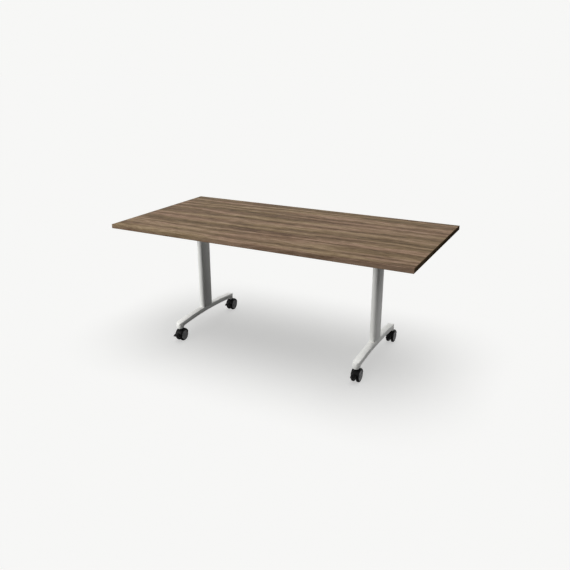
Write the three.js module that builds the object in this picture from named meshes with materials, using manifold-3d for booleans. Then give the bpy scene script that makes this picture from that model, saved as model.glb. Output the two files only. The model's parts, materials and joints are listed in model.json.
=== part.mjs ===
// Flip top training table: a rectangular top on two oval columns with arched feet and braked twin castors.
// Millimetres, +Z up, +X along the table, -Y towards the sitter.
// The origin lies on the floor under the middle of the top.

import * as THREE from 'three';
import { mergeVertices } from 'three/addons/utils/BufferGeometryUtils.js';
import Module from 'manifold-3d';

const wasm = await Module();
wasm.setup();

// Table top
const TOP_LENGTH = 1800;
const TOP_DEPTH = 900;
const TOP_HEIGHT = 740;
const BOARD_THICKNESS = 25;
const BAND_THICKNESS = 3;
const BAND_ROUND = 2.5;
const GLUE_LINE = 0.1;

// Legs
const LEG_SPACING = 1158;
const COLUMN_WIDTH = 40;
const COLUMN_DEPTH = 105;
const COLUMN_WALL = 2;

// Arched feet: FOOT_CROWN is the height of the arch in the middle, under the column
const FOOT_LENGTH = 612;
const FOOT_WIDTH = 40;
const FOOT_CROWN = 139.5;
const FOOT_BAR = 28.5;
const FOOT_ARCH_RADIUS = 2557;
const FOOT_EDGE = 3;
const FOOT_WALL = 5;
const FOOT_ROOF = 6;
const FOOT_RIB = 4;
const FOOT_RIBS_PER_SIDE = 3;
const FOOT_HUB = 128;
const FOOT_SPIGOT = 25;
const TOE_LENGTH = 34;
const TOE_ROUND = 12;
const FOOT_BOLT_RADIUS = 5;
const FOOT_BOLT_HEAD_RADIUS = 9;
const FOOT_BOLT_SPACING = 60;
const FOOT_BOLT_SEAT = 14;

// Flip pivot: behind the middle of the top, so that the top rests on its stops by its own weight
const PIVOT_BACK = 15;
const PIVOT_DROP = 72;
const PIVOT_PIN_RADIUS = 8;
const PIVOT_PIN_END = 4;
const PIVOT_HEAD_RADIUS = 13;
const PIN_HEAD = 4;

// Fork heads
const HEAD_RISE = 62;
const HEAD_COLLAR = 8;
const HEAD_PLUG = 30;
const HEAD_SLOT = 15;
const HEAD_LUG_RADIUS = 24;
const HEAD_STOP_LUG_RADIUS = 14;
const HEAD_FOOT_RADIUS = 5;
const HEAD_SHOULDER = 20;

// Tilt arms: a flange under the board and a rib that hangs into the fork
const ARM_LENGTH = 620;
const ARM_FLANGE_WIDTH = 60;
const ARM_FLANGE = 5;
const ARM_RIB = 12;
const ARM_BOSS_RADIUS = 20;
const ARM_TIP_RADIUS = 5;
const ARM_TIP_SETBACK = 12;
const ARM_BACK_RADIUS = 10;
const ARM_SCREW_RADIUS = 2.6;
const ARM_SCREW_ROWS = 4;
const ARM_SCREW_SETBACK = 40;
const ARM_SCREW_SPREAD = 40;
const HEEL_RADIUS = 7;

// Stops
const STOP_PIN_RADIUS = 5;
const STOP_HEAD_RADIUS = 8;
const STOP_SLEEVE_RADIUS = 8;
const STOP_REACH = 30;
const FLIP_ANGLE = 90;

// Cross beam between the fork heads
const BEAM_DEPTH = 44;
const BEAM_HEIGHT = 36;
const BEAM_WALL = 2;
const BEAM_END_PLATE = 5;
const BEAM_BACK = 18;
const BEAM_DROP = 34;
const BEAM_BOLT_RADIUS = 4;
const BEAM_BOLT_SPACING = 24;

// Release: a shaft through both arms, with a hook at each fork and a paddle in the middle
const SHAFT_RADIUS = 6;
const SHAFT_FORWARD = 46;
const SHAFT_RISE = 38;
const SHAFT_END = 4;
const CLIP_RADIUS = 10;
const CLIP_THICKNESS = 1.5;
const CLIP_MOUTH = 80;
const HOOK_THICKNESS = 6;
const HOOK_HUB_RADIUS = 11;
const HOOK_BAR = 8;
const HOOK_CATCH = 5;
const HOOK_SWING = 14;
const HOOK_PLAY = 1.8;
const STRIKER_LENGTH = 9;
const PADDLE_REACH = 140;
const PADDLE_HUB_RADIUS = 11;
const PADDLE_HUB_WIDTH = 44;
const PADDLE_WIDTH = 80;
const PADDLE_TIP_RADIUS = 3;
const PADDLE_TILT = 9;
const SPRING_WIRE_RADIUS = 1.2;
const SPRING_RADIUS = 10.5;
const SPRING_TURNS = 4;
const SPRING_PITCH = 3;
const SPRING_LEG = 66;
const SPRING_STEPS = 8;

// Castors: the wheels trail behind the stem
const CASTOR_HEIGHT = 86;
const WHEEL_RADIUS = 37.5;
const WHEEL_WIDTH = 15.5;
const WHEEL_TRAIL = 18;
const WHEEL_SIDE_GAP = 0.6;
const TREAD_DEPTH = 7.5;
const TREAD_ROUND = 3.5;
const TREAD_SHOULDER = 6.5;
const HUB_DISH = 3;
const HUB_CAP_RADIUS = 11;
const WEB_WIDTH = 14;
const WEB_SKIRT_RADIUS = 26;
const HOOD_GAP = 1.6;
const HOOD_WALL = 2.9;
const HOOD_CROWN = 5;
const HOOD_SHOULDER = 9;
const HOOD_BACK = 12;
const HOOD_FRONT = 158;
const AXLE_RADIUS = 4;
const AXLE_END_GAP = 4;
const STEM_RADIUS = 5;
const STEM_FLANGE_RADIUS = 9;
const STEM_FLANGE = 1.6;
const STEM_IN_FOOT = 30;
const STEM_IN_BODY = 24;
const STEM_BOSS_RADIUS = 12;
const PEDAL_FORWARD = 48;
const PEDAL_RISE = 14;
const PEDAL_LUG_RADIUS = 6;
const PEDAL_LUG_WIDTH = 12;
const PEDAL_PIN_RADIUS = 2.5;
const PEDAL_WIDTH = 26;
const PEDAL_REACH = 18;
const PEDAL_TOE_DROP = 3.5;
const PEDAL_TOE_RADIUS = 2.5;
const PEDAL_PLATE_RADIUS = 3;
const BRAKE_TOE_RADIUS = 4;
const BRAKE_TOE_DROP = 12;

// Clearances
const FIT = 0.3;
const BORE_FIT = 0.2;
const SIDE_FIT = 1;

// Places worked out from the sizes above
const LEG_X = LEG_SPACING / 2;
const UNDERSIDE = TOP_HEIGHT - BOARD_THICKNESS;
const PIVOT_Z = UNDERSIDE - PIVOT_DROP;
const COLUMN_TOP = PIVOT_Z - HEAD_RISE;
const STEM_Y = (FOOT_LENGTH - TOE_LENGTH) / 2;
const TYRE_SEGMENTS = 18;
const HUB_SEGMENTS = 12;
const HOOD_SEGMENTS = 24;
const PIN_SEGMENTS = 16;
const SMALL_PIN_SEGMENTS = 12;
const SCREW_SEGMENTS = 8;
const BEND_STEPS = 4;
const PEDAL_BEND_STEPS = 3;
const CROWN_STEPS = 2;
const OVERLAP = 2;

const FINISH = {
  laminate: new THREE.MeshStandardMaterial({ color: 0x7a6a5a, roughness: 0.5, metalness: 0 }),
  edging: new THREE.MeshStandardMaterial({ color: 0x5c4c3f, roughness: 0.5, metalness: 0 }),
  paint: new THREE.MeshStandardMaterial({ color: 0xc9c8c4, roughness: 0.45, metalness: 0.2 }),
  beamPaint: new THREE.MeshStandardMaterial({ color: 0x9e9e9c, roughness: 0.45, metalness: 0.2 }),
  casting: new THREE.MeshStandardMaterial({ color: 0xb4b5b6, roughness: 0.5, metalness: 0.9 }),
  steel: new THREE.MeshStandardMaterial({ color: 0xa8aaac, roughness: 0.35, metalness: 1 }),
  blackPlastic: new THREE.MeshStandardMaterial({ color: 0x161616, roughness: 0.5, metalness: 0 }),
  greyPlastic: new THREE.MeshStandardMaterial({ color: 0x5a5b5c, roughness: 0.5, metalness: 0 }),
  rubber: new THREE.MeshStandardMaterial({ color: 0x0d0d0d, roughness: 0.8, metalness: 0 }),
};

// Solids

const radians = THREE.MathUtils.degToRad;

// A welded geometry with positions only, without flat slivers, whose faces point outwards.
function closed(geometry) {
  const bare = geometry.clone();
  bare.deleteAttribute('normal');
  bare.deleteAttribute('uv');
  const welded = mergeVertices(bare, 1e-4);
  const corner = welded.index.array;
  const point = (i) => new THREE.Vector3().fromBufferAttribute(welded.attributes.position, i);
  const kept = [];
  let volume = 0;
  for (let i = 0; i < corner.length; i += 3) {
    const [a, b, c] = [corner[i], corner[i + 1], corner[i + 2]];
    if (a === b || b === c || c === a) continue;
    kept.push(a, b, c);
    volume += point(a).dot(point(b).cross(point(c)));
  }
  if (volume < 0) kept.reverse();
  welded.setIndex(kept);
  return welded;
}

function toSolid(geometry) {
  const shell = closed(geometry);
  return new wasm.Manifold(new wasm.Mesh({
    numProp: 3,
    vertProperties: new Float32Array(shell.attributes.position.array),
    triVerts: new Uint32Array(shell.index.array),
  }));
}

function toGeometry(solid) {
  const mesh = solid.getMesh();
  const geometry = new THREE.BufferGeometry();
  geometry.setAttribute('position', new THREE.Float32BufferAttribute(mesh.vertProperties, 3));
  geometry.setIndex(new THREE.Uint32BufferAttribute(mesh.triVerts, 1));
  return geometry;
}

function joined(...geometries) {
  const solids = geometries.map(toSolid);
  return toGeometry(solids.reduce((whole, next) => whole.add(next)));
}

function cut(geometry, ...cutters) {
  return toGeometry(cutters.map(toSolid).reduce((rest, cutter) => rest.subtract(cutter), toSolid(geometry)));
}

function common(first, second) {
  return toGeometry(toSolid(first).intersect(toSolid(second)));
}

// A plan shape drawn in X and Y, raised from one height to another.
function raised(shape, low, high, arcSteps = BEND_STEPS) {
  const geometry = new THREE.ExtrudeGeometry(shape, {
    depth: high - low,
    bevelEnabled: false,
    curveSegments: arcSteps,
  });
  return geometry.translate(0, 0, low);
}

// A side shape drawn in Y and Z, given a width across X, with its long edges rounded if asked.
const SIDE_FRAME = new THREE.Matrix4().makeBasis(
  new THREE.Vector3(0, 1, 0),
  new THREE.Vector3(0, 0, 1),
  new THREE.Vector3(1, 0, 0),
);

function across(shape, from, to, { edge = 0, arcSteps = BEND_STEPS } = {}) {
  const geometry = new THREE.ExtrudeGeometry(shape, {
    depth: to - from - 2 * edge,
    bevelEnabled: edge > 0,
    bevelThickness: edge,
    bevelSize: edge,
    bevelOffset: -edge,
    bevelSegments: 2,
    curveSegments: arcSteps,
  });
  return geometry.translate(0, 0, from + edge).applyMatrix4(SIDE_FRAME);
}

// A turned piece about the X axis from [radius, x] points, with a flat facet at the bottom.
function turnedX(profile, segments = PIN_SEGMENTS) {
  const points = profile.map(([radius, x]) => new THREE.Vector2(radius, x));
  const halfStep = Math.PI / segments;
  return new THREE.LatheGeometry(points, segments, halfStep).rotateZ(-Math.PI / 2);
}

// A turned piece about the Z axis from [radius, z] points.
function turnedZ(profile, segments = PIN_SEGMENTS) {
  const points = profile.map(([radius, z]) => new THREE.Vector2(radius, z));
  return new THREE.LatheGeometry(points, segments).rotateX(Math.PI / 2);
}

function rodX(radius, from, to, segments = PIN_SEGMENTS) {
  return turnedX([[0, from], [radius, from], [radius, to], [0, to]], segments);
}

function rodZ(radius, low, high, segments = PIN_SEGMENTS) {
  return turnedZ([[0, low], [radius, low], [radius, high], [0, high]], segments);
}

function block(fromX, toX, fromY, toY, fromZ, toZ) {
  const geometry = new THREE.BoxGeometry(toX - fromX, toY - fromY, toZ - fromZ);
  return geometry.translate((fromX + toX) / 2, (fromY + toY) / 2, (fromZ + toZ) / 2);
}

// The outline of a belt drawn tight round discs that are listed anticlockwise as [y, z, radius].
function belt(discs, arcSteps = BEND_STEPS) {
  const normals = discs.map(([y, z, radius], i) => {
    const [nextY, nextZ, nextRadius] = discs[(i + 1) % discs.length];
    const length = Math.hypot(nextY - y, nextZ - z);
    return Math.atan2(nextZ - z, nextY - y) - Math.acos((radius - nextRadius) / length);
  });
  const points = [];
  discs.forEach(([y, z, radius], i) => {
    const arrive = normals[(i + discs.length - 1) % discs.length];
    const turn = THREE.MathUtils.euclideanModulo(normals[i] - arrive, 2 * Math.PI);
    for (let step = 0; step <= arcSteps; step += 1) {
      const angle = arrive + (turn * step) / arcSteps;
      points.push(new THREE.Vector2(y + radius * Math.cos(angle), z + radius * Math.sin(angle)));
    }
  });
  return new THREE.Shape(points);
}

// A ring sector drawn in Y and Z, angles in degrees from +Y towards +Z.
function ringSector(inner, outer, from, to) {
  const shape = new THREE.Shape();
  shape.absarc(0, 0, outer, radians(from), radians(to), false);
  shape.absarc(0, 0, inner, radians(to), radians(from), true);
  shape.closePath();
  return shape;
}

// The flat-sided oval of the columns: width across X, depth along Y.
function oval(width, depth) {
  const radius = width / 2;
  const reach = depth / 2 - radius;
  const shape = new THREE.Shape();
  shape.absarc(0, reach, radius, 0, Math.PI, false);
  shape.absarc(0, -reach, radius, Math.PI, 2 * Math.PI, false);
  shape.closePath();
  return shape;
}

function piece(name, geometry, material) {
  const shell = closed(geometry);
  shell.computeVertexNormals();
  const mesh = new THREE.Mesh(shell, material);
  mesh.name = name;
  return mesh;
}

// Table top: board with a banded edge all round

function bandProfile(sign) {
  const inner = -BAND_THICKNESS * sign;
  const corner = -BAND_ROUND * sign;
  const shape = new THREE.Shape();
  shape.moveTo(inner, 0);
  shape.lineTo(corner, 0);
  shape.quadraticCurveTo(0, 0, 0, BAND_ROUND);
  shape.lineTo(0, BOARD_THICKNESS - BAND_ROUND);
  shape.quadraticCurveTo(0, BOARD_THICKNESS, corner, BOARD_THICKNESS);
  shape.lineTo(inner, BOARD_THICKNESS);
  shape.closePath();
  return shape;
}

function tableTop() {
  const group = new THREE.Group();
  const rim = BAND_THICKNESS + GLUE_LINE;
  const halfLength = TOP_LENGTH / 2;
  const halfDepth = TOP_DEPTH / 2;
  const boardX = halfLength - rim;
  const boardY = halfDepth - rim;
  const board = block(-boardX, boardX, -boardY, boardY, UNDERSIDE, TOP_HEIGHT);
  group.add(piece('top_board', board, FINISH.laminate));

  const arcSteps = 2;
  for (const [name, sign] of [['edge_band_front', -1], ['edge_band_back', 1]]) {
    const band = across(bandProfile(sign), -halfLength, halfLength, { arcSteps });
    group.add(piece(name, band.translate(0, halfDepth * sign, UNDERSIDE), FINISH.edging));
  }
  for (const [name, sign] of [['edge_band_left', -1], ['edge_band_right', 1]]) {
    const band = across(bandProfile(-sign), -boardY, boardY, { arcSteps }).rotateZ(Math.PI / 2);
    group.add(piece(name, band.translate(halfLength * sign, 0, UNDERSIDE), FINISH.edging));
  }
  return group;
}

// Stop geometry in the side view, measured from the pivot

const RIB_TOP = PIVOT_DROP - FIT - ARM_FLANGE;
const ARM_FRONT = [-ARM_LENGTH / 2 - PIVOT_BACK + ARM_TIP_SETBACK, RIB_TOP - ARM_TIP_RADIUS, ARM_TIP_RADIUS];
const ARM_REAR = [ARM_LENGTH / 2 - PIVOT_BACK - ARM_TIP_SETBACK, RIB_TOP - ARM_TIP_RADIUS, ARM_TIP_RADIUS];
const ARM_BOSS = [0, 0, ARM_BOSS_RADIUS];
const ARM_BACK = [ARM_BOSS_RADIUS, RIB_TOP - ARM_BACK_RADIUS, ARM_BACK_RADIUS];

// The stop pin lies under the straight lower edge of the rib, one sleeve radius away from it.
function stopPlace() {
  const [tipY, tipZ, tipRadius] = ARM_FRONT;
  const length = Math.hypot(tipY, tipZ);
  const edgeAngle = Math.atan2(-tipZ, -tipY) - Math.acos((tipRadius - ARM_BOSS_RADIUS) / length);
  const out = new THREE.Vector2(Math.cos(edgeAngle), Math.sin(edgeAngle));
  const along = new THREE.Vector2(out.y, -out.x);
  const away = ARM_BOSS_RADIUS + FIT + STOP_SLEEVE_RADIUS;
  return out.multiplyScalar(away).addScaledVector(along, STOP_REACH);
}

const STOP = stopPlace();

// The heel of the arm meets the same sleeve from the other side when the top stands upright.
function heelPlace() {
  const radius = STOP.length();
  const edgeTurn = Math.acos((ARM_BOSS_RADIUS - HEEL_RADIUS) / radius);
  const sleeveTurn = Math.acos((ARM_BOSS_RADIUS + STOP_SLEEVE_RADIUS + FIT) / radius);
  const angle = STOP.angle() + edgeTurn - sleeveTurn + radians(FLIP_ANGLE);
  return [radius * Math.cos(angle), radius * Math.sin(angle), HEEL_RADIUS];
}

// Leg: foot, column and fork head

const archDrop = (y, radius) => radius - Math.sqrt(radius * radius - y * y);

function footOutline() {
  const end = FOOT_LENGTH / 2;
  const toe = end - TOE_LENGTH;
  const lowerRadius = FOOT_ARCH_RADIUS - FOOT_BAR;
  const centreZ = FOOT_CROWN - FOOT_ARCH_RADIUS;
  const upperStart = Math.asin((end - TOE_ROUND) / FOOT_ARCH_RADIUS);
  const lowerEnd = Math.asin((toe - TOE_ROUND) / lowerRadius);
  const upperZ = (y) => FOOT_CROWN - archDrop(y, FOOT_ARCH_RADIUS);
  const lowerZ = (y) => FOOT_CROWN - FOOT_BAR - archDrop(y, lowerRadius);
  const endZ = upperZ(end);
  const toeZ = lowerZ(toe);
  const up = Math.PI / 2;
  const shape = new THREE.Shape();
  shape.absarc(0, centreZ, FOOT_ARCH_RADIUS, up - upperStart, up + upperStart, false);
  shape.quadraticCurveTo(-end, endZ, -end, endZ - TOE_ROUND);
  shape.lineTo(-end, CASTOR_HEIGHT);
  shape.lineTo(-toe, CASTOR_HEIGHT);
  shape.quadraticCurveTo(-toe, toeZ, -toe + TOE_ROUND, lowerZ(toe - TOE_ROUND));
  shape.absarc(0, centreZ, lowerRadius, up + lowerEnd, up - lowerEnd, true);
  shape.quadraticCurveTo(toe, toeZ, toe, CASTOR_HEIGHT);
  shape.lineTo(end, CASTOR_HEIGHT);
  shape.lineTo(end, endZ - TOE_ROUND);
  shape.quadraticCurveTo(end, endZ, end - TOE_ROUND, upperZ(end - TOE_ROUND));
  shape.closePath();
  return shape;
}

// The band of space between two heights of the arch, used to hollow the foot and to saddle the column.
function archBand(halfLength, radius, floor) {
  const centreZ = FOOT_CROWN - FOOT_ARCH_RADIUS;
  const reach = Math.asin(halfLength / radius);
  const up = Math.PI / 2;
  const shape = new THREE.Shape();
  shape.absarc(0, centreZ, radius, up - reach, up + reach, false);
  shape.lineTo(-halfLength, floor);
  shape.lineTo(halfLength, floor);
  shape.closePath();
  return shape;
}

function spigotOval() {
  const shrink = 2 * (COLUMN_WALL + FIT);
  return oval(COLUMN_WIDTH - shrink, COLUMN_DEPTH - shrink);
}

function foot(name) {
  const halfWidth = FOOT_WIDTH / 2;
  const halfPocket = halfWidth - FOOT_WALL;
  const pocketEnd = FOOT_LENGTH / 2 - TOE_LENGTH - FOOT_WALL;
  const hub = FOOT_HUB / 2;
  const below = CASTOR_HEIGHT - OVERLAP;
  const above = FOOT_CROWN + FOOT_SPIGOT + OVERLAP;
  const plan = raised(oval(FOOT_WIDTH, FOOT_LENGTH), below, above);
  const bar = common(across(footOutline(), -halfWidth, halfWidth, { edge: FOOT_EDGE }), plan);
  const spigot = raised(spigotOval(), FOOT_CROWN - FOOT_ROOF, FOOT_CROWN + FOOT_SPIGOT);

  const hollow = across(archBand(pocketEnd, FOOT_ARCH_RADIUS - FOOT_ROOF, below), -halfPocket, halfPocket);
  const webs = [block(-halfWidth, halfWidth, -hub, hub, 0, above)];
  const ribPitch = (pocketEnd - hub) / (FOOT_RIBS_PER_SIDE + 1);
  for (let i = 1; i <= FOOT_RIBS_PER_SIDE; i += 1) {
    for (const side of [-1, 1]) {
      const y = side * (hub + i * ribPitch);
      webs.push(block(-halfWidth, halfWidth, y - FOOT_RIB / 2, y + FOOT_RIB / 2, 0, above));
    }
  }
  const pockets = cut(hollow, ...webs);

  const holes = [];
  const seat = FOOT_CROWN - FOOT_BOLT_SEAT;
  for (const side of [-1, 1]) {
    const boltY = (side * FOOT_BOLT_SPACING) / 2;
    holes.push(rodZ(FOOT_BOLT_RADIUS + FIT, below, above, SMALL_PIN_SEGMENTS).translate(0, boltY, 0));
    holes.push(rodZ(FOOT_BOLT_HEAD_RADIUS, below, seat, SMALL_PIN_SEGMENTS).translate(0, boltY, 0));
    const bore = rodZ(STEM_RADIUS + BORE_FIT, below, CASTOR_HEIGHT + STEM_IN_FOOT + OVERLAP);
    holes.push(bore.translate(0, side * STEM_Y, 0));
  }
  return piece(name, cut(joined(bar, spigot), pockets, ...holes), FINISH.paint);
}

function column(name) {
  const section = oval(COLUMN_WIDTH, COLUMN_DEPTH);
  section.holes.push(oval(COLUMN_WIDTH - 2 * COLUMN_WALL, COLUMN_DEPTH - 2 * COLUMN_WALL));
  const start = FOOT_CROWN - FOOT_ROOF;
  const tube = raised(section, start, COLUMN_TOP);
  const saddle = archBand(COLUMN_DEPTH, FOOT_ARCH_RADIUS + FIT, CASTOR_HEIGHT);
  return piece(name, cut(tube, across(saddle, -COLUMN_WIDTH, COLUMN_WIDTH)), FINISH.paint);
}

function forkHead(name, inward) {
  const seat = COLUMN_TOP + FIT;
  const collarTop = seat + HEAD_COLLAR;
  const collar = raised(oval(COLUMN_WIDTH, COLUMN_DEPTH), seat, collarTop);
  const plug = raised(spigotOval(), COLUMN_TOP - HEAD_PLUG, seat + OVERLAP);

  const footReach = COLUMN_DEPTH / 2 - HEAD_SHOULDER;
  const footZ = collarTop - PIVOT_Z - HEAD_FOOT_RADIUS / 2;
  const cheek = belt([
    [-PIVOT_BACK - footReach, footZ, HEAD_FOOT_RADIUS],
    [-PIVOT_BACK + footReach, footZ, HEAD_FOOT_RADIUS],
    [0, 0, HEAD_LUG_RADIUS],
    [STOP.x, STOP.y, HEAD_STOP_LUG_RADIUS],
  ]);
  const inner = HEAD_SLOT / 2;
  const outer = COLUMN_WIDTH / 2;
  const cheeks = [[-outer, -inner], [inner, outer]].map(([from, to]) => (
    across(cheek, from, to).translate(0, PIVOT_BACK, PIVOT_Z)
  ));

  const bores = [
    rodX(PIVOT_PIN_RADIUS + BORE_FIT, -outer - OVERLAP, outer + OVERLAP).translate(0, PIVOT_BACK, PIVOT_Z),
    rodX(STOP_PIN_RADIUS + BORE_FIT, -outer - OVERLAP, outer + OVERLAP, SMALL_PIN_SEGMENTS)
      .translate(0, PIVOT_BACK + STOP.x, PIVOT_Z + STOP.y),
  ];
  const [boltFrom, boltTo] = inward > 0 ? [0, outer + OVERLAP] : [-outer - OVERLAP, 0];
  for (const side of [-1, 1]) {
    const boltY = BEAM_BACK + (side * BEAM_BOLT_SPACING) / 2;
    const bolt = rodX(BEAM_BOLT_RADIUS + FIT, boltFrom, boltTo, SMALL_PIN_SEGMENTS);
    bores.push(bolt.translate(0, boltY, PIVOT_Z - BEAM_DROP));
  }
  return piece(name, cut(joined(collar, plug, ...cheeks), ...bores), FINISH.casting);
}

// A headed pin across the fork: the head outside, the plain end reaching past the inner cheek.
function headedPin(radius, headRadius, inwardReach, inward, segments) {
  const outer = COLUMN_WIDTH / 2;
  const chamfer = radius / 5;
  const end = outer + inwardReach;
  const profile = [
    [0, -outer - FIT - PIN_HEAD],
    [headRadius - chamfer, -outer - FIT - PIN_HEAD],
    [headRadius, -outer - FIT - PIN_HEAD + chamfer],
    [headRadius, -outer - FIT],
    [radius, -outer - FIT],
    [radius, end - chamfer],
    [radius - chamfer, end],
    [0, end],
  ];
  return turnedX(profile.map(([r, x]) => [r, x * inward]), segments);
}

function stopSleeve() {
  const half = HEAD_SLOT / 2 - FIT;
  const bore = STOP_PIN_RADIUS + BORE_FIT;
  const rim = STOP_SLEEVE_RADIUS;
  const profile = [[bore, -half], [rim, -half], [rim, half], [bore, half], [bore, -half]];
  return turnedX(profile, SMALL_PIN_SEGMENTS);
}

// Tilt arm, drawn about the pivot

function tiltArm(name) {
  const half = ARM_RIB / 2;
  const shaft = [-SHAFT_FORWARD, SHAFT_RISE];
  const front = across(belt([ARM_FRONT, ARM_BOSS, ARM_BACK]), -half, half);
  const rear = across(belt([ARM_BACK, ARM_REAR]), -half, half);
  const heelBar = across(belt([ARM_BOSS, heelPlace()]), -half, half);

  const flangeTop = PIVOT_DROP - FIT;
  const flange = raised(oval(ARM_FLANGE_WIDTH, ARM_LENGTH), RIB_TOP, flangeTop).translate(0, -PIVOT_BACK, 0);
  const lift = block(-half, half, ARM_FRONT[0], ARM_REAR[0], RIB_TOP - ARM_TIP_RADIUS, RIB_TOP + OVERLAP);

  const holes = [
    rodX(PIVOT_PIN_RADIUS + BORE_FIT, -ARM_RIB, ARM_RIB),
    rodX(SHAFT_RADIUS + BORE_FIT, -ARM_RIB, ARM_RIB).translate(0, ...shaft),
  ];
  const firstRow = ARM_LENGTH / 2 - ARM_SCREW_SETBACK;
  const rowPitch = (2 * firstRow) / (ARM_SCREW_ROWS - 1);
  for (let row = 0; row < ARM_SCREW_ROWS; row += 1) {
    for (const side of [-1, 1]) {
      const hole = rodZ(ARM_SCREW_RADIUS, RIB_TOP - OVERLAP, flangeTop + OVERLAP, SCREW_SEGMENTS);
      holes.push(hole.translate((side * ARM_SCREW_SPREAD) / 2, row * rowPitch - firstRow - PIVOT_BACK, 0));
    }
  }
  return piece(name, cut(joined(flange, lift, front, rear, heelBar), ...holes), FINISH.casting);
}

// Cross beam: a rectangular tube with a tapped plate in each end

function crossBeam() {
  const end = LEG_X - COLUMN_WIDTH / 2 - FIT;
  const halfDepth = BEAM_DEPTH / 2;
  const halfHeight = BEAM_HEIGHT / 2;
  const bore = end - BEAM_END_PLATE;
  const tube = block(-end, end, -halfDepth, halfDepth, -halfHeight, halfHeight);
  const hollow = block(
    -bore, bore,
    -halfDepth + BEAM_WALL, halfDepth - BEAM_WALL,
    -halfHeight + BEAM_WALL, halfHeight - BEAM_WALL,
  );
  const tap = rodX(BEAM_BOLT_RADIUS, -LEG_SPACING, LEG_SPACING, SMALL_PIN_SEGMENTS);
  const taps = [-1, 1].map((side) => tap.clone().translate(0, (side * BEAM_BOLT_SPACING) / 2, 0));
  const beam = cut(tube, hollow, ...taps).translate(0, BEAM_BACK, PIVOT_Z - BEAM_DROP);
  return piece('cross_beam', beam, FINISH.beamPaint);
}

// Release: everything here turns about the shaft, and is drawn about its axis

const SHAFT_Y = PIVOT_BACK - SHAFT_FORWARD;
const SHAFT_Z = PIVOT_Z + SHAFT_RISE;

// The hook is drawn where it catches the striker, then swung clear to where it is stored.
function latchHook(name, inward) {
  const strikerY = STOP.x + SHAFT_FORWARD;
  const strikerZ = STOP.y - SHAFT_RISE;
  const reach = Math.hypot(strikerY, strikerZ);
  const strikerAngle = THREE.MathUtils.radToDeg(Math.atan2(strikerZ, strikerY));
  const mouth = reach + STOP_PIN_RADIUS + HOOK_PLAY;
  const kneeGap = STOP_PIN_RADIUS + HOOK_PLAY + HOOK_BAR / 2 + SIDE_FIT;
  const kneeAngle = strikerAngle - THREE.MathUtils.radToDeg(kneeGap / reach);
  const knee = [
    (mouth + HOOK_BAR / 2) * Math.cos(radians(kneeAngle)),
    (mouth + HOOK_BAR / 2) * Math.sin(radians(kneeAngle)),
    HOOK_BAR / 2,
  ];
  const near = COLUMN_WIDTH / 2 + SIDE_FIT;
  const [from, to] = inward > 0 ? [near, near + HOOK_THICKNESS] : [-near - HOOK_THICKNESS, -near];
  const bar = across(belt([[0, 0, HOOK_HUB_RADIUS], knee]), from, to);
  const nose = across(ringSector(mouth, mouth + HOOK_BAR, kneeAngle, strikerAngle + HOOK_CATCH), from, to);
  const hook = cut(joined(bar, nose), rodX(SHAFT_RADIUS + BORE_FIT, -COLUMN_WIDTH, COLUMN_WIDTH));
  return piece(name, hook.rotateX(radians(-HOOK_SWING)), FINISH.steel);
}

function releaseShaft() {
  const end = LEG_X + ARM_RIB / 2 + SIDE_FIT + CLIP_THICKNESS + SHAFT_END;
  return piece('release_shaft', rodX(SHAFT_RADIUS, -end, end), FINISH.steel);
}

function shaftClip(name) {
  const half = CLIP_THICKNESS / 2;
  const mouth = CLIP_MOUTH / 2;
  const ring = ringSector(SHAFT_RADIUS + BORE_FIT, CLIP_RADIUS, mouth - 90, 270 - mouth);
  return piece(name, across(ring, -half, half, { arcSteps: PIN_SEGMENTS / 2 }), FINISH.steel);
}

function paddleOutline() {
  const hub = PADDLE_HUB_WIDTH / 2;
  const blade = PADDLE_WIDTH / 2;
  const corner = PADDLE_HUB_WIDTH / 2;
  const front = -PADDLE_REACH - PADDLE_TIP_RADIUS;
  const shape = new THREE.Shape();
  shape.moveTo(-hub, 2 * PADDLE_HUB_RADIUS);
  shape.lineTo(-hub, -2 * PADDLE_HUB_RADIUS);
  shape.bezierCurveTo(-hub, front / 2, -blade, front / 2, -blade, front + corner);
  shape.quadraticCurveTo(-blade, front, -blade + corner, front);
  shape.lineTo(blade - corner, front);
  shape.quadraticCurveTo(blade, front, blade, front + corner);
  shape.bezierCurveTo(blade, front / 2, hub, front / 2, hub, -2 * PADDLE_HUB_RADIUS);
  shape.lineTo(hub, 2 * PADDLE_HUB_RADIUS);
  shape.closePath();
  return shape;
}

function releasePaddle() {
  const side = belt([[-PADDLE_REACH, 0, PADDLE_TIP_RADIUS], [0, 0, PADDLE_HUB_RADIUS]]);
  const slab = across(side, -PADDLE_WIDTH, PADDLE_WIDTH);
  const outline = raised(paddleOutline(), -PADDLE_REACH, PADDLE_REACH);
  const bored = cut(common(slab, outline), rodX(SHAFT_RADIUS + BORE_FIT, -PADDLE_WIDTH, PADDLE_WIDTH));
  return piece('release_paddle', bored.rotateX(radians(-PADDLE_TILT)), FINISH.blackPlastic);
}

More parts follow.
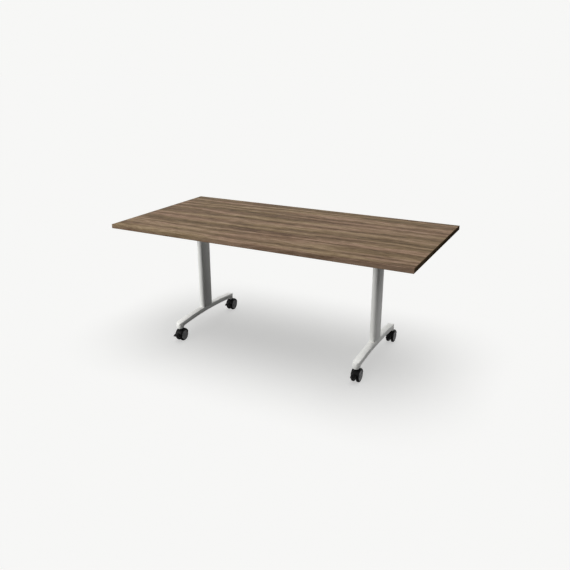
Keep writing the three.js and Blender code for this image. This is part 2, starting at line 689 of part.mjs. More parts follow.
// A torsion spring round the shaft: one leg up against the board, one leg forward on the paddle.
function springPath() {
  const innerX = PADDLE_HUB_WIDTH / 2 + SIDE_FIT + SPRING_WIRE_RADIUS;
  const outerX = innerX + SPRING_TURNS * SPRING_PITCH;
  const legTop = PIVOT_DROP - SHAFT_RISE - FIT;
  const points = [
    new THREE.Vector3(outerX, -SPRING_RADIUS, legTop),
    new THREE.Vector3(outerX, -SPRING_RADIUS, legTop / 2),
  ];
  const wound = SPRING_TURNS * 360 - 90;
  const steps = SPRING_TURNS * SPRING_STEPS;
  for (let step = 0; step <= steps; step += 1) {
    const share = step / steps;
    const angle = radians(180 + wound * share);
    const x = THREE.MathUtils.lerp(outerX, innerX, share);
    points.push(new THREE.Vector3(x, SPRING_RADIUS * Math.cos(angle), SPRING_RADIUS * Math.sin(angle)));
  }
  const forward = new THREE.Vector3(0, -Math.cos(radians(PADDLE_TILT)), Math.sin(radians(PADDLE_TILT)));
  const up = new THREE.Vector3(0, -forward.y * Math.tan(radians(PADDLE_TILT)), -forward.y);
  const leave = points.at(-1);
  points.push(leave.clone().addScaledVector(forward, SPRING_LEG / 3));
  points.push(leave.clone().addScaledVector(forward, (SPRING_LEG * 2) / 3));
  const taper = (PADDLE_HUB_RADIUS - PADDLE_TIP_RADIUS) / PADDLE_REACH;
  const bladeTop = PADDLE_HUB_RADIUS - taper * SPRING_LEG;
  const seat = forward.clone().multiplyScalar(SPRING_LEG);
  seat.addScaledVector(up, bladeTop + FIT + SPRING_WIRE_RADIUS);
  points.push(seat.setX(innerX));
  return new THREE.CatmullRomCurve3(points, false, 'centripetal');
}

// The least space between neighbouring turns of the spring, measured on points along its wire.
function leastTurnGap(path) {
  const samples = path.getSpacedPoints(400);
  const apart = Math.round((samples.length * Math.PI * SPRING_RADIUS) / path.getLength());
  let least = Infinity;
  samples.forEach((point, i) => {
    for (let j = i + apart; j < samples.length; j += 1) {
      least = Math.min(least, point.distanceTo(samples[j]));
    }
  });
  return least - 2 * SPRING_WIRE_RADIUS;
}

function returnSpring() {
  const path = springPath();
  console.log(`return spring: least gap between turns ${leastTurnGap(path).toFixed(2)} mm`);
  const wire = new THREE.Shape();
  const sides = 5;
  for (let i = 0; i < sides; i += 1) {
    const angle = (2 * Math.PI * i) / sides;
    const corner = [SPRING_WIRE_RADIUS * Math.cos(angle), SPRING_WIRE_RADIUS * Math.sin(angle)];
    if (i === 0) wire.moveTo(...corner);
    else wire.lineTo(...corner);
  }
  const steps = (SPRING_TURNS + 2) * SPRING_STEPS;
  return piece('return_spring', new THREE.ExtrudeGeometry(wire, { steps, extrudePath: path }), FINISH.steel);
}

// Castor, drawn about the point on the floor under its stem

const AXLE_Y = WHEEL_TRAIL;
const HUB_RADIUS = WHEEL_RADIUS - TREAD_DEPTH - FIT;
const WHEEL_INNER = WEB_WIDTH / 2 + WHEEL_SIDE_GAP;
const WHEEL_OUTER = WHEEL_INNER + WHEEL_WIDTH;
const STEM_TOP = CASTOR_HEIGHT + STEM_IN_FOOT;
const FLANGE_TOP = CASTOR_HEIGHT - FIT;
const BOSS_TOP = FLANGE_TOP - STEM_FLANGE - FIT;
const STEM_FOOT = BOSS_TOP - STEM_IN_BODY;

function castorStem(name) {
  const profile = [
    [0, STEM_FOOT],
    [STEM_RADIUS, STEM_FOOT],
    [STEM_RADIUS, FLANGE_TOP - STEM_FLANGE],
    [STEM_FLANGE_RADIUS, FLANGE_TOP - STEM_FLANGE],
    [STEM_FLANGE_RADIUS, FLANGE_TOP],
    [STEM_RADIUS, FLANGE_TOP],
    [STEM_RADIUS, STEM_TOP],
    [0, STEM_TOP],
  ];
  return piece(name, turnedZ(profile, SMALL_PIN_SEGMENTS), FINISH.steel);
}

// A drum about the axle whose ends are drawn in to a crown, carried on straight beyond them if asked.
function crownedDrum(radius, beyond = 0) {
  const end = WHEEL_OUTER + beyond;
  const half = [];
  for (let step = 0; step <= CROWN_STEPS; step += 1) {
    const angle = radians((90 * step) / CROWN_STEPS);
    const drawnIn = HOOD_CROWN * (1 - Math.cos(angle));
    half.push([radius - drawnIn, WHEEL_OUTER - HOOD_SHOULDER * (1 - Math.sin(angle))]);
  }
  half.push([radius - HOOD_CROWN, end], [0, end]);
  const otherHalf = half.map(([r, x]) => [r, -x]).reverse();
  return turnedX([...otherHalf, ...half], HOOD_SEGMENTS);
}

function castorBody(name) {
  const half = WEB_WIDTH / 2;
  const inside = WHEEL_RADIUS + HOOD_GAP;
  const outside = inside + HOOD_WALL;
  const back = radians(HOOD_BACK);
  const front = radians(HOOD_FRONT);
  const web = new THREE.Shape();
  web.absarc(0, 0, outside - HOOD_WALL / 2, back, front, false);
  web.absarc(0, 0, WEB_SKIRT_RADIUS, Math.PI + back, 2 * Math.PI - back, false);
  web.closePath();

  const hoodArc = ringSector(inside - HOOD_CROWN - OVERLAP, outside + OVERLAP, HOOD_BACK, HOOD_FRONT);
  const hoodBand = common(across(hoodArc, -WHEEL_OUTER, WHEEL_OUTER), crownedDrum(outside));
  const stemBoss = rodZ(STEM_BOSS_RADIUS, WHEEL_RADIUS / 2, BOSS_TOP - WHEEL_RADIUS).translate(0, -AXLE_Y, 0);
  const hood = cut(joined(hoodBand, stemBoss), crownedDrum(inside, OVERLAP));

  const lugHalf = PEDAL_LUG_WIDTH / 2;
  const pedalPivot = [-PEDAL_FORWARD, PEDAL_RISE];
  const lugRoot = [-inside, PEDAL_RISE, PEDAL_LUG_RADIUS];
  const solids = [
    across(web, -half, half),
    hood,
    across(belt([[...pedalPivot, PEDAL_LUG_RADIUS], lugRoot]), -lugHalf, lugHalf),
    rodX(PEDAL_PIN_RADIUS, -PEDAL_WIDTH / 2, PEDAL_WIDTH / 2, SCREW_SEGMENTS).translate(0, ...pedalPivot),
  ];
  const cuts = [
    rodX(AXLE_RADIUS + BORE_FIT, -WEB_WIDTH, WEB_WIDTH, SMALL_PIN_SEGMENTS),
    rodZ(STEM_RADIUS + BORE_FIT, STEM_FOOT - FIT - WHEEL_RADIUS, CASTOR_HEIGHT, SMALL_PIN_SEGMENTS)
      .translate(0, -AXLE_Y, 0),
  ];
  const body = cut(joined(...solids), ...cuts).translate(0, AXLE_Y, WHEEL_RADIUS);
  return piece(name, body, FINISH.blackPlastic);
}

function castorAxle(name) {
  const end = WHEEL_OUTER - AXLE_END_GAP;
  const axle = rodX(AXLE_RADIUS, -end, end, SMALL_PIN_SEGMENTS).translate(0, AXLE_Y, WHEEL_RADIUS);
  return piece(name, axle, FINISH.steel);
}

// Tyre and wheel centre for the wheel on the +X side; the other wheel is the same piece turned round.
function tyreGeometry() {
  const outer = WHEEL_RADIUS / Math.cos(Math.PI / TYRE_SEGMENTS);
  const inner = outer - TREAD_DEPTH;
  return turnedX([
    [inner, WHEEL_INNER],
    [outer - TREAD_ROUND, WHEEL_INNER],
    [outer, WHEEL_INNER + TREAD_ROUND],
    [outer, WHEEL_OUTER - TREAD_SHOULDER],
    [outer - TREAD_SHOULDER, WHEEL_OUTER],
    [inner, WHEEL_OUTER],
    [inner, WHEEL_INNER],
  ], TYRE_SEGMENTS);
}

function hubGeometry() {
  const bore = AXLE_RADIUS + BORE_FIT;
  const boreEnd = WHEEL_OUTER - AXLE_END_GAP + FIT;
  const shoulder = HUB_RADIUS - HUB_DISH;
  return turnedX([
    [0, boreEnd],
    [bore, boreEnd],
    [bore, WHEEL_INNER],
    [HUB_RADIUS, WHEEL_INNER],
    [HUB_RADIUS, WHEEL_OUTER],
    [shoulder, WHEEL_OUTER],
    [shoulder - HUB_DISH, WHEEL_OUTER - HUB_DISH],
    [HUB_CAP_RADIUS + HUB_DISH, WHEEL_OUTER - HUB_DISH],
    [HUB_CAP_RADIUS, WHEEL_OUTER],
    [0, WHEEL_OUTER],
  ], HUB_SEGMENTS);
}

function brakePedal(name) {
  const half = PEDAL_WIDTH / 2;
  const ear = PEDAL_LUG_WIDTH / 2 + FIT;
  const plateBack = PEDAL_LUG_RADIUS + PEDAL_PLATE_RADIUS + SIDE_FIT;
  const plateRoot = [-plateBack, 0, PEDAL_PLATE_RADIUS];
  const toe = [-PEDAL_REACH, -PEDAL_TOE_DROP, PEDAL_TOE_RADIUS];
  const pivot = [0, 0, PEDAL_LUG_RADIUS];
  const brakeToe = [BRAKE_TOE_RADIUS / 2, -BRAKE_TOE_DROP, BRAKE_TOE_RADIUS];
  const solids = [across(belt([toe, plateRoot], PEDAL_BEND_STEPS), -half, half)];
  for (const [from, to] of [[-half, -ear], [ear, half]]) {
    solids.push(across(belt([plateRoot, pivot], PEDAL_BEND_STEPS), from, to));
    solids.push(across(belt([pivot, brakeToe], PEDAL_BEND_STEPS), from, to));
  }
  const bore = rodX(PEDAL_PIN_RADIUS + FIT, -PEDAL_WIDTH, PEDAL_WIDTH, SCREW_SEGMENTS);
  const pedal = cut(joined(...solids), bore);
  pedal.translate(0, AXLE_Y - PEDAL_FORWARD, WHEEL_RADIUS + PEDAL_RISE);
  return piece(name, pedal, FINISH.blackPlastic);
}

function castor(place) {
  const group = new THREE.Group();
  group.add(castorStem(`castor_stem_${place}`));
  group.add(castorBody(`castor_body_${place}`));
  group.add(castorAxle(`castor_axle_${place}`));
  group.add(brakePedal(`brake_pedal_${place}`));
  for (const [side, turn] of [['right', 0], ['left', Math.PI]]) {
    const seat = (geometry) => geometry.rotateZ(turn).translate(0, AXLE_Y, WHEEL_RADIUS);
    group.add(piece(`tyre_${place}_${side}`, seat(tyreGeometry()), FINISH.rubber));
    group.add(piece(`wheel_centre_${place}_${side}`, seat(hubGeometry()), FINISH.greyPlastic));
  }
  return group;
}

// Assembly

function leg(side, x) {
  const inward = x < 0 ? 1 : -1;
  const group = new THREE.Group();
  group.position.x = x;
  group.add(foot(`foot_${side}`));
  group.add(column(`column_${side}`));
  group.add(forkHead(`fork_head_${side}`, inward));

  const pivot = new THREE.Group();
  pivot.position.set(0, PIVOT_BACK, PIVOT_Z);
  const pivotPin = headedPin(PIVOT_PIN_RADIUS, PIVOT_HEAD_RADIUS, PIVOT_PIN_END, inward, PIN_SEGMENTS);
  pivot.add(piece(`pivot_pin_${side}`, pivotPin, FINISH.steel));
  const striker = headedPin(STOP_PIN_RADIUS, STOP_HEAD_RADIUS, STRIKER_LENGTH, inward, SMALL_PIN_SEGMENTS);
  pivot.add(piece(`stop_pin_${side}`, striker.translate(0, STOP.x, STOP.y), FINISH.steel));
  pivot.add(piece(`stop_sleeve_${side}`, stopSleeve().translate(0, STOP.x, STOP.y), FINISH.rubber));
  pivot.add(tiltArm(`tilt_arm_${side}`));
  group.add(pivot);

  const release = new THREE.Group();
  release.position.set(0, SHAFT_Y, SHAFT_Z);
  release.add(latchHook(`latch_hook_${side}`, inward));
  const clip = shaftClip(`shaft_clip_${side}`);
  clip.position.x = -inward * (ARM_RIB / 2 + SIDE_FIT / 2 + CLIP_THICKNESS / 2);
  release.add(clip);
  group.add(release);

  for (const [end, y] of [['front', -STEM_Y], ['back', STEM_Y]]) {
    const wheels = castor(`${end}_${side}`);
    wheels.position.y = y;
    group.add(wheels);
  }
  return group;
}

function release() {
  const group = new THREE.Group();
  group.position.set(0, SHAFT_Y, SHAFT_Z);
  group.add(releaseShaft());
  group.add(releasePaddle());
  group.add(returnSpring());
  return group;
}

const table = new THREE.Group();
table.add(tableTop());
table.add(leg('left', -LEG_X));
table.add(leg('right', LEG_X));
table.add(crossBeam());
table.add(release());

export default table;
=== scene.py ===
# %% [markdown]
# # A flip top training table
#
# The table has a walnut laminate top on two oval steel columns. Arched feet carry the columns, and
# braked twin castors carry the feet. Under the top a latch holds it level; pull the paddle and the top
# flips upright, so that tables can be pushed together for storage.
#
# The measured model is loaded first and stays as it is. Everything below only dresses it: finishes for
# the pieces that are already right, finer pieces where the measured ones are too plain to look at, and
# the small fasteners. All lengths are metres, and +X runs along the table, -Y towards the sitter.

# %% Load the measured model
import json
import math

import bmesh
import bpy
from mathutils import Matrix, Vector
from mathutils.bvhtree import BVHTree


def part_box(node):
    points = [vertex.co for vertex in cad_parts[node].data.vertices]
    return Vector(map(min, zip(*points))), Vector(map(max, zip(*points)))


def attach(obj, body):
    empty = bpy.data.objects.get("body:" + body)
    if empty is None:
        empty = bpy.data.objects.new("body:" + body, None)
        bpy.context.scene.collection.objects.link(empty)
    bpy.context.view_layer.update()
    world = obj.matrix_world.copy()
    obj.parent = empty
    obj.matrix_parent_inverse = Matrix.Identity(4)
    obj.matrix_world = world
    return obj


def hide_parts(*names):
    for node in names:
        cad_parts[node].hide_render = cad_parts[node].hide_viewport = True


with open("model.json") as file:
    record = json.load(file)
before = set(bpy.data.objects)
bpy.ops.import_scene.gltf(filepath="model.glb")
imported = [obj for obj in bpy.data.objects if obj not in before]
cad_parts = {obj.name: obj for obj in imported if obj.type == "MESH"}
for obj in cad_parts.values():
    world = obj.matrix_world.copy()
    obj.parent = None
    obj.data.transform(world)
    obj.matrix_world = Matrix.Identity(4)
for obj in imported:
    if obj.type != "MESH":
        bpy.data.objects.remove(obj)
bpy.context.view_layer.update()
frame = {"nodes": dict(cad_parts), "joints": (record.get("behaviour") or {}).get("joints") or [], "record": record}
nodes = frame["nodes"]
SIDES = ("left", "right")
PLACES = ("front_left", "back_left", "front_right", "back_right")
print("pieces in the model:", len(nodes))

# %% [markdown]
# ## Camera
#
# A photograph's camera can be found again by measuring straight edges whose real directions are known.
# The four edges of the top fix the focal length, the tilt and the turn, and the height of the desk fixes
# the distance. The camera below is that one: it looks down by about 20 degrees, from the right of the
# sitter's side.

# %% Camera
PICTURE_SIZE = 570
FOCAL_PIXELS = 624.67
SENSOR_WIDTH = 36.0
CAMERA_PLACE = (1.6291, -3.1181, 1.6324)
CAMERA_DOWN = 19.738
CAMERA_TURN = 27.578

camera_data = bpy.data.cameras.new("photo_camera")
camera_data.sensor_width = SENSOR_WIDTH
camera_data.lens = SENSOR_WIDTH * FOCAL_PIXELS / PICTURE_SIZE
camera = bpy.data.objects.new("photo_camera", camera_data)
camera.location = CAMERA_PLACE
camera.rotation_euler = (math.radians(90 - CAMERA_DOWN), 0, math.radians(CAMERA_TURN))
bpy.context.scene.collection.objects.link(camera)
bpy.context.scene.camera = camera
bpy.context.scene.view_settings.view_transform = "Standard"
print("lens:", round(camera_data.lens, 2), "mm")

# %% [markdown]
# ## Node helpers
#
# A shader is a small graph of nodes. It can be drawn by hand in Blender's editor, but a script can repeat
# it exactly, so here it is code. One helper adds a node and fills its sockets with values or links. The
# short ones after it are the nodes that are needed most: sums, ranges, mixes and noise.


# %% Node helpers
def add(tree, kind, inputs=None, **options):
    """Adds a node, sets its options and fills its sockets, by name or number, with values or links."""
    made = tree.nodes.new(kind)
    for option, value in options.items():
        setattr(made, option, value)
    for socket, value in (inputs or {}).items():
        if isinstance(value, bpy.types.NodeSocket):
            tree.links.new(value, made.inputs[socket])
        else:
            made.inputs[socket].default_value = value
    return made


def maths(tree, operation, first, second=0.0, third=0.0):
    return add(tree, "ShaderNodeMath", {0: first, 1: second, 2: third}, operation=operation).outputs[0]


def vectors(tree, operation, first, second):
    return add(tree, "ShaderNodeVectorMath", {0: first, 1: second}, operation=operation).outputs[0]


def between(tree, value, low, high, to_low=0.0, to_high=1.0, ends="SMOOTHSTEP"):
    """Stretches low..high to to_low..to_high, with soft ends or with LINEAR ones."""
    sockets = {"Value": value, 1: low, 2: high, 3: to_low, 4: to_high}
    return add(tree, "ShaderNodeMapRange", sockets, interpolation_type=ends).outputs[0]


def mixed(tree, factor, first, second, blend="MIX"):
    """Mixes two colours."""
    sockets = {0: factor, 6: first, 7: second}
    return add(tree, "ShaderNodeMix", sockets, data_type="RGBA", blend_type=blend).outputs[2]


def mixed_value(tree, factor, first, second):
    """Mixes two numbers."""
    sockets = {0: factor, 2: first, 3: second}
    return add(tree, "ShaderNodeMix", sockets, data_type="FLOAT").outputs[0]


def scaled(tree, vector, scale):
    return add(tree, "ShaderNodeMapping", {"Vector": vector, "Scale": scale}).outputs[0]


def noise(tree, vector, scale, detail=2.0, roughness=0.5):
    sockets = {"Vector": vector, "Scale": scale, "Detail": detail, "Roughness": roughness}
    return add(tree, "ShaderNodeTexNoise", sockets).outputs["Fac"]


print("node helpers ready")

# %% [markdown]
# ## Groups and materials
#
# Several finishes share an effect: the walnut figure, for one, is on the board and on its bands. A node
# group is the right home for it, because each finish can then place it with values of its own. A finish
# itself is a material with one Principled shader. Its plain values are set on the sockets, and what the
# group gives is wired to the others.

# %% Groups and materials
SOCKET_KINDS = {"value": "NodeSocketFloat", "vector": "NodeSocketVector", "colour": "NodeSocketColor"}


def effect_group(name, takes, gives):
    """Starts a shader node group. takes and gives are {socket name: kind, or (kind, first value)}."""
    tree = bpy.data.node_groups.new(name, "ShaderNodeTree")
    for sockets, direction in ((takes, "INPUT"), (gives, "OUTPUT")):
        for label, kind in sockets.items():
            kind, start = kind if isinstance(kind, tuple) else (kind, None)
            made = tree.interface.new_socket(label, in_out=direction, socket_type=SOCKET_KINDS[kind])
            if start is not None:
                made.default_value = start
    enter = tree.nodes.new("NodeGroupInput")
    leave = tree.nodes.new("NodeGroupOutput")
    return tree, enter.outputs, leave.inputs


def effect(tree, group, inputs):
    """Places a node group in a material with values of its own."""
    return add(tree, "ShaderNodeGroup", inputs, node_tree=group).outputs


def finish(name, **sockets):
    """A material with one Principled shader, whose plain values are set on its own sockets."""
    material = bpy.data.materials.new(name)
    material.use_nodes = True
    shader = material.node_tree.nodes["Principled BSDF"]
    for socket, value in sockets.items():
        shader.inputs[socket.replace("_", " ")].default_value = value
    return material, material.node_tree, shader


def wire(tree, shader, **links):
    for socket, output in links.items():
        tree.links.new(output, shader.inputs[socket.replace("_", " ")])


def place(tree):
    """Where a point lies on the piece, in metres. It stays with the piece when the table flips."""
    return add(tree, "ShaderNodeTexCoord").outputs["Object"]


def bumped(tree, height, depth):
    """Tilts the surface by a height map that is depth metres deep."""
    return add(tree, "ShaderNodeBump", {"Strength": 1.0, "Distance": depth, "Height": height}).outputs[0]


def wire_skin(tree, shader, skin, depth):
    """Wires the colour, the roughness and the height of a placed group to a shader."""
    wire(
        tree, shader,
        Base_Color=skin["Color"],
        Roughness=skin["Roughness"],
        Normal=bumped(tree, skin["Height"], depth),
    )


print("kinds of group sockets:", ", ".join(SOCKET_KINDS))

# %% [markdown]
# ## Floor
#
# The table stands in a white void with a soft grey shadow under it. A white floor that really was white
# would throw light up under the top and wash the dark undersides out, so the floor has two faces. For
# the camera, and for reflections, it is pale, and it glows, which lifts the shadow. For light that
# bounces it is dark grey and has no glow. The Light Path node tells the two kinds of ray apart.
#
# Seen from below the floor is clear, so that a camera down there can look at the underside of the table.

# %% Floor
PALE = (0.930, 0.930, 0.920, 1)
PALE_SHADED = (0.590, 0.590, 0.584, 1)
GLOW = (1, 1, 0.99, 1)
SHADOW_LIFT = 0.534
FLOOR_BOUNCE = (0.13, 0.13, 0.13, 1)
FLOOR_HALF = 60.0


def seen_directly(tree):
    """1 for rays that show the background itself: camera, mirror-like and see-through ones."""
    path = add(tree, "ShaderNodeLightPath").outputs
    shown = maths(tree, "MAXIMUM", path["Is Camera Ray"], path["Is Glossy Ray"])
    return maths(tree, "MAXIMUM", shown, path["Is Transmission Ray"])


floor_mesh = bpy.data.meshes.new("floor")
signs = ((-1, -1), (1, -1), (1, 1), (-1, 1))
corners = [(along * FLOOR_HALF, across * FLOOR_HALF, 0) for along, across in signs]
floor_mesh.from_pydata(corners, [], [(0, 1, 2, 3)])
floor = bpy.data.objects.new("floor", floor_mesh)
bpy.context.scene.collection.objects.link(floor)

floor_paint, tree, shader = finish(
    "floor_paint", Roughness=1.0, Specular_IOR_Level=0.0, Emission_Color=GLOW)
shown = seen_directly(tree)
wire(
    tree, shader,
    Base_Color=mixed(tree, shown, FLOOR_BOUNCE, PALE_SHADED),
    Emission_Strength=maths(tree, "MULTIPLY", shown, SHADOW_LIFT),
)
from_below = add(tree, "ShaderNodeNewGeometry").outputs["Backfacing"]
clear = add(tree, "ShaderNodeBsdfTransparent").outputs[0]
one_sided = add(tree, "ShaderNodeMixShader", {0: from_below, 1: shader.outputs[0], 2: clear}).outputs[0]
tree.links.new(one_sided, tree.nodes["Material Output"].inputs["Surface"])
floor_mesh.materials.append(floor_paint)
print("floor:", 2 * FLOOR_HALF, "m wide")

# %% [markdown]
# ## Void
#
# The void itself gives a little even light. For rays that show it, it is as pale as the floor.

# %% Void
WHITE = (1, 1, 1, 1)
SKY_EVEN = 0.06

world = bpy.data.worlds.new("studio")
bpy.context.scene.world = world
world.use_nodes = True
sky = world.node_tree
shown = seen_directly(sky)
background = sky.nodes["Background"]
sky.links.new(mixed(sky, shown, WHITE, PALE), background.inputs["Color"])
sky.links.new(mixed_value(sky, shown, SKY_EVEN, 1.0), background.inputs["Strength"])
print("even light of the void:", SKY_EVEN)

# %% [markdown]
# ## Soft lamps
#
# The rest comes from big soft lamps that are far away. In Blender that is a sun with a wide disc. Several
# of them shape the table: one overhead, one high in front, two low at the left and one high at the right
# give the columns a light left flank and a dark right one. But each would throw a shadow of its own, and
# the photograph shows a single one, straight below. So those lamps leave the floor out, and the floor has
# one lamp to itself, overhead, with a disc just wide enough for the soft edge that the shadow has.
#
# Blender calls that light linking: a lamp gets a collection of receivers, and each object in it is taken
# in or left out. The lamps stay out of mirrors, which show the pale void instead.

# %% Soft lamps
# Degrees round from the sitter's side towards the left, degrees up, degrees across, strength.
TABLE_LAMPS = {
    "overhead": (0, 90, 36, 0.88),
    "high_front": (0, 50, 69, 0.92),
    "low_left": (45, 18, 69, 0.58),
    "low_back": (135, 18, 69, 0.94),
    "high_right": (270, 62, 59, 0.83),
}
FLOOR_LAMP = (0, 90, 60, 1.92)


def linking_set(name, pieces, state):
    """A collection for light linking, in which every piece is in (INCLUDE) or out (EXCLUDE)."""
    made = bpy.data.collections.new(name)
    for piece in pieces:
        made.objects.link(piece)
    for entry in made.collection_objects:
        entry.light_linking.link_state = state
    return made


def soft_sun(name, setting, receivers):
    """A soft lamp at infinity that lights the receivers. setting is (round, up, across, strength)."""
    round_by, up_by, across, strength = setting
    data = bpy.data.lights.new(name, "SUN")
    data.energy = strength
    data.angle = math.radians(across)
    turn, rise = math.radians(round_by), math.radians(up_by)
    level = math.cos(rise)
    towards = Vector((-level * math.sin(turn), -level * math.cos(turn), math.sin(rise)))
    lamp = bpy.data.objects.new(name, data)
    lamp.rotation_euler = towards.to_track_quat("Z", "Y").to_euler()
    lamp.visible_glossy = False
    lamp.light_linking.receiver_collection = receivers
    bpy.context.scene.collection.objects.link(lamp)


ALL_BUT_FLOOR = linking_set("all_but_floor", [floor], "EXCLUDE")
for name, setting in TABLE_LAMPS.items():
    soft_sun(name, setting, ALL_BUT_FLOOR)
soft_sun("floor_lamp", FLOOR_LAMP, linking_set("floor_only", [floor], "INCLUDE"))
print("soft lamps:", len(TABLE_LAMPS), "for the table and 1 for the floor")

# %% [markdown]
# ## Soft boxes
#
# Two lamps are near. A soft box at the left, in front, lights the left leg more than the right one and
# gives both a bright flank with a crisp end. The second hangs behind the table and lights only the
# painted legs. The top would shade them from it, and the tops of the feet would turn grey, so the legs
# alone block this lamp.

# %% Soft boxes
BOX_SIZE = 0.9
FLANK_BOX = {"stands": (-2.3, -2.5, 1.25), "aims": (-0.3, 0.0, 0.35), "watts": 60.0}
LEG_BOX = {"stands": (-0.5, 1.6, 2.6), "aims": (0.0, 0.1, 0.1), "watts": 19.0}


def soft_box(name, stands, aims, watts):
    """A soft lamp with a round face, which the camera can't see. Gives back its light linking."""
    data = bpy.data.lights.new(name, "AREA")
    data.shape = "DISK"
    data.size = BOX_SIZE
    data.energy = watts
    lamp = bpy.data.objects.new(name, data)
    beam_path = Vector(aims) - Vector(stands)
    lamp.location = stands
    lamp.rotation_euler = beam_path.to_track_quat("-Z", "Y").to_euler()
    lamp.visible_camera = False
    bpy.context.scene.collection.objects.link(lamp)
    print(name, "stands", round(beam_path.length, 2), "m away")
    return lamp.light_linking


leg_pieces = [nodes[f"{part}_{side}"] for part in ("foot", "column") for side in SIDES]
legs = linking_set("legs", leg_pieces, "INCLUDE")
flank_box = soft_box("flank_box", **FLANK_BOX)
flank_box.receiver_collection = ALL_BUT_FLOOR
leg_box = soft_box("leg_box", **LEG_BOX)
leg_box.receiver_collection = legs
leg_box.blocker_collection = legs

# %% [markdown]
# ## Streaks of grain
#
# Wood is mostly streaks. Noise looks alike in all directions, but with its X coordinate squeezed it is
# stretched into streaks that run along the table. Streaks that are ruled straight look dead, so a second
# helper pushes the coordinates sideways by a slow noise, as a tree grows.


# %% Streaks of grain
def streaks(tree, vector, width, stretch, detail, roughness=0.55):
    """Noise in long streaks along X, about width metres across, centred on 0."""
    squeezed = scaled(tree, vector, (1 / (stretch * width), 1 / width, 1 / width))
    return maths(tree, "SUBTRACT", noise(tree, squeezed, 1.0, detail, roughness), 0.5)


def swayed(tree, vector, scale, reach):
    """Pushes points sideways, across the grain, by a smooth noise of the given scale."""
    sockets = {"Vector": scaled(tree, vector, scale), "Scale": 1.0, "Detail": 0.5}
    push = add(tree, "ShaderNodeTexNoise", sockets).outputs["Color"]
    centred = vectors(tree, "SUBTRACT", push, (0.5, 0.5, 0.5))
    across = vectors(tree, "MULTIPLY", centred, (0, reach, reach))
    return vectors(tree, "ADD", vector, across)


print("streak helpers ready")

# %% [markdown]
# ## Walnut figure
#
# The top is a printed laminate: straight walnut grain that runs the length of the table, in soft darker
# and lighter bands, with lines, short flecks, fibres and pores in them. An image could be laid on it, but
# a procedural grain has no seams and no resolution. Streaks of several widths, added up, give wood. A
# slow wander and a quicker ripple bend them a little, and another slow noise shifts the brown between
# reddish and olive.
#
# The edge bands show the same figure, so it is a group.

# %% Walnut figure
# A width is metres across the grain, a stretch is how many times longer than wide a streak is, and a
# weight is how much of a layer goes into the sum.
WANDER_SCALE, WANDER_REACH = (0.9, 2.2, 2.2), 0.045
RIPPLE_SCALE, RIPPLE_REACH = (8.0, 18.0, 18.0), 0.018
DRIFT_WIDTH, DRIFT_STRETCH, DRIFT_TURNS = 0.12, 12.0, 2.4
BAND_PITCH, BAND_WEIGHT = 0.100, 0.13
LINE_WIDTH, LINE_STRETCH, LINE_WEIGHT = 0.014, 20.0, 0.58
FLECK_WIDTH, FLECK_STRETCH, FLECK_WEIGHT = 0.010, 6.0, 0.58
FIBRE_WIDTH, FIBRE_STRETCH, FIBRE_WEIGHT = 0.0020, 50.0, 0.36
PORE_WIDTH, PORE_STRETCH, PORE_WEIGHT = 0.0009, 30.0, 0.5
PORE_FROM, PORE_FULL = 0.08, 0.20
HUE_WIDTH, HUE_STRETCH = 0.055, 11.0
HUE_FROM, HUE_FULL = -0.02, 0.12
WARM_TINT = (1.03, 0.98, 1.02, 1)
OLIVE_TINT = (0.99, 1.015, 0.93, 1)
LINE_LIMIT = 0.2
ROUGH_IN_DARK, ROUGH_IN_LIGHT = 0.58, 0.48


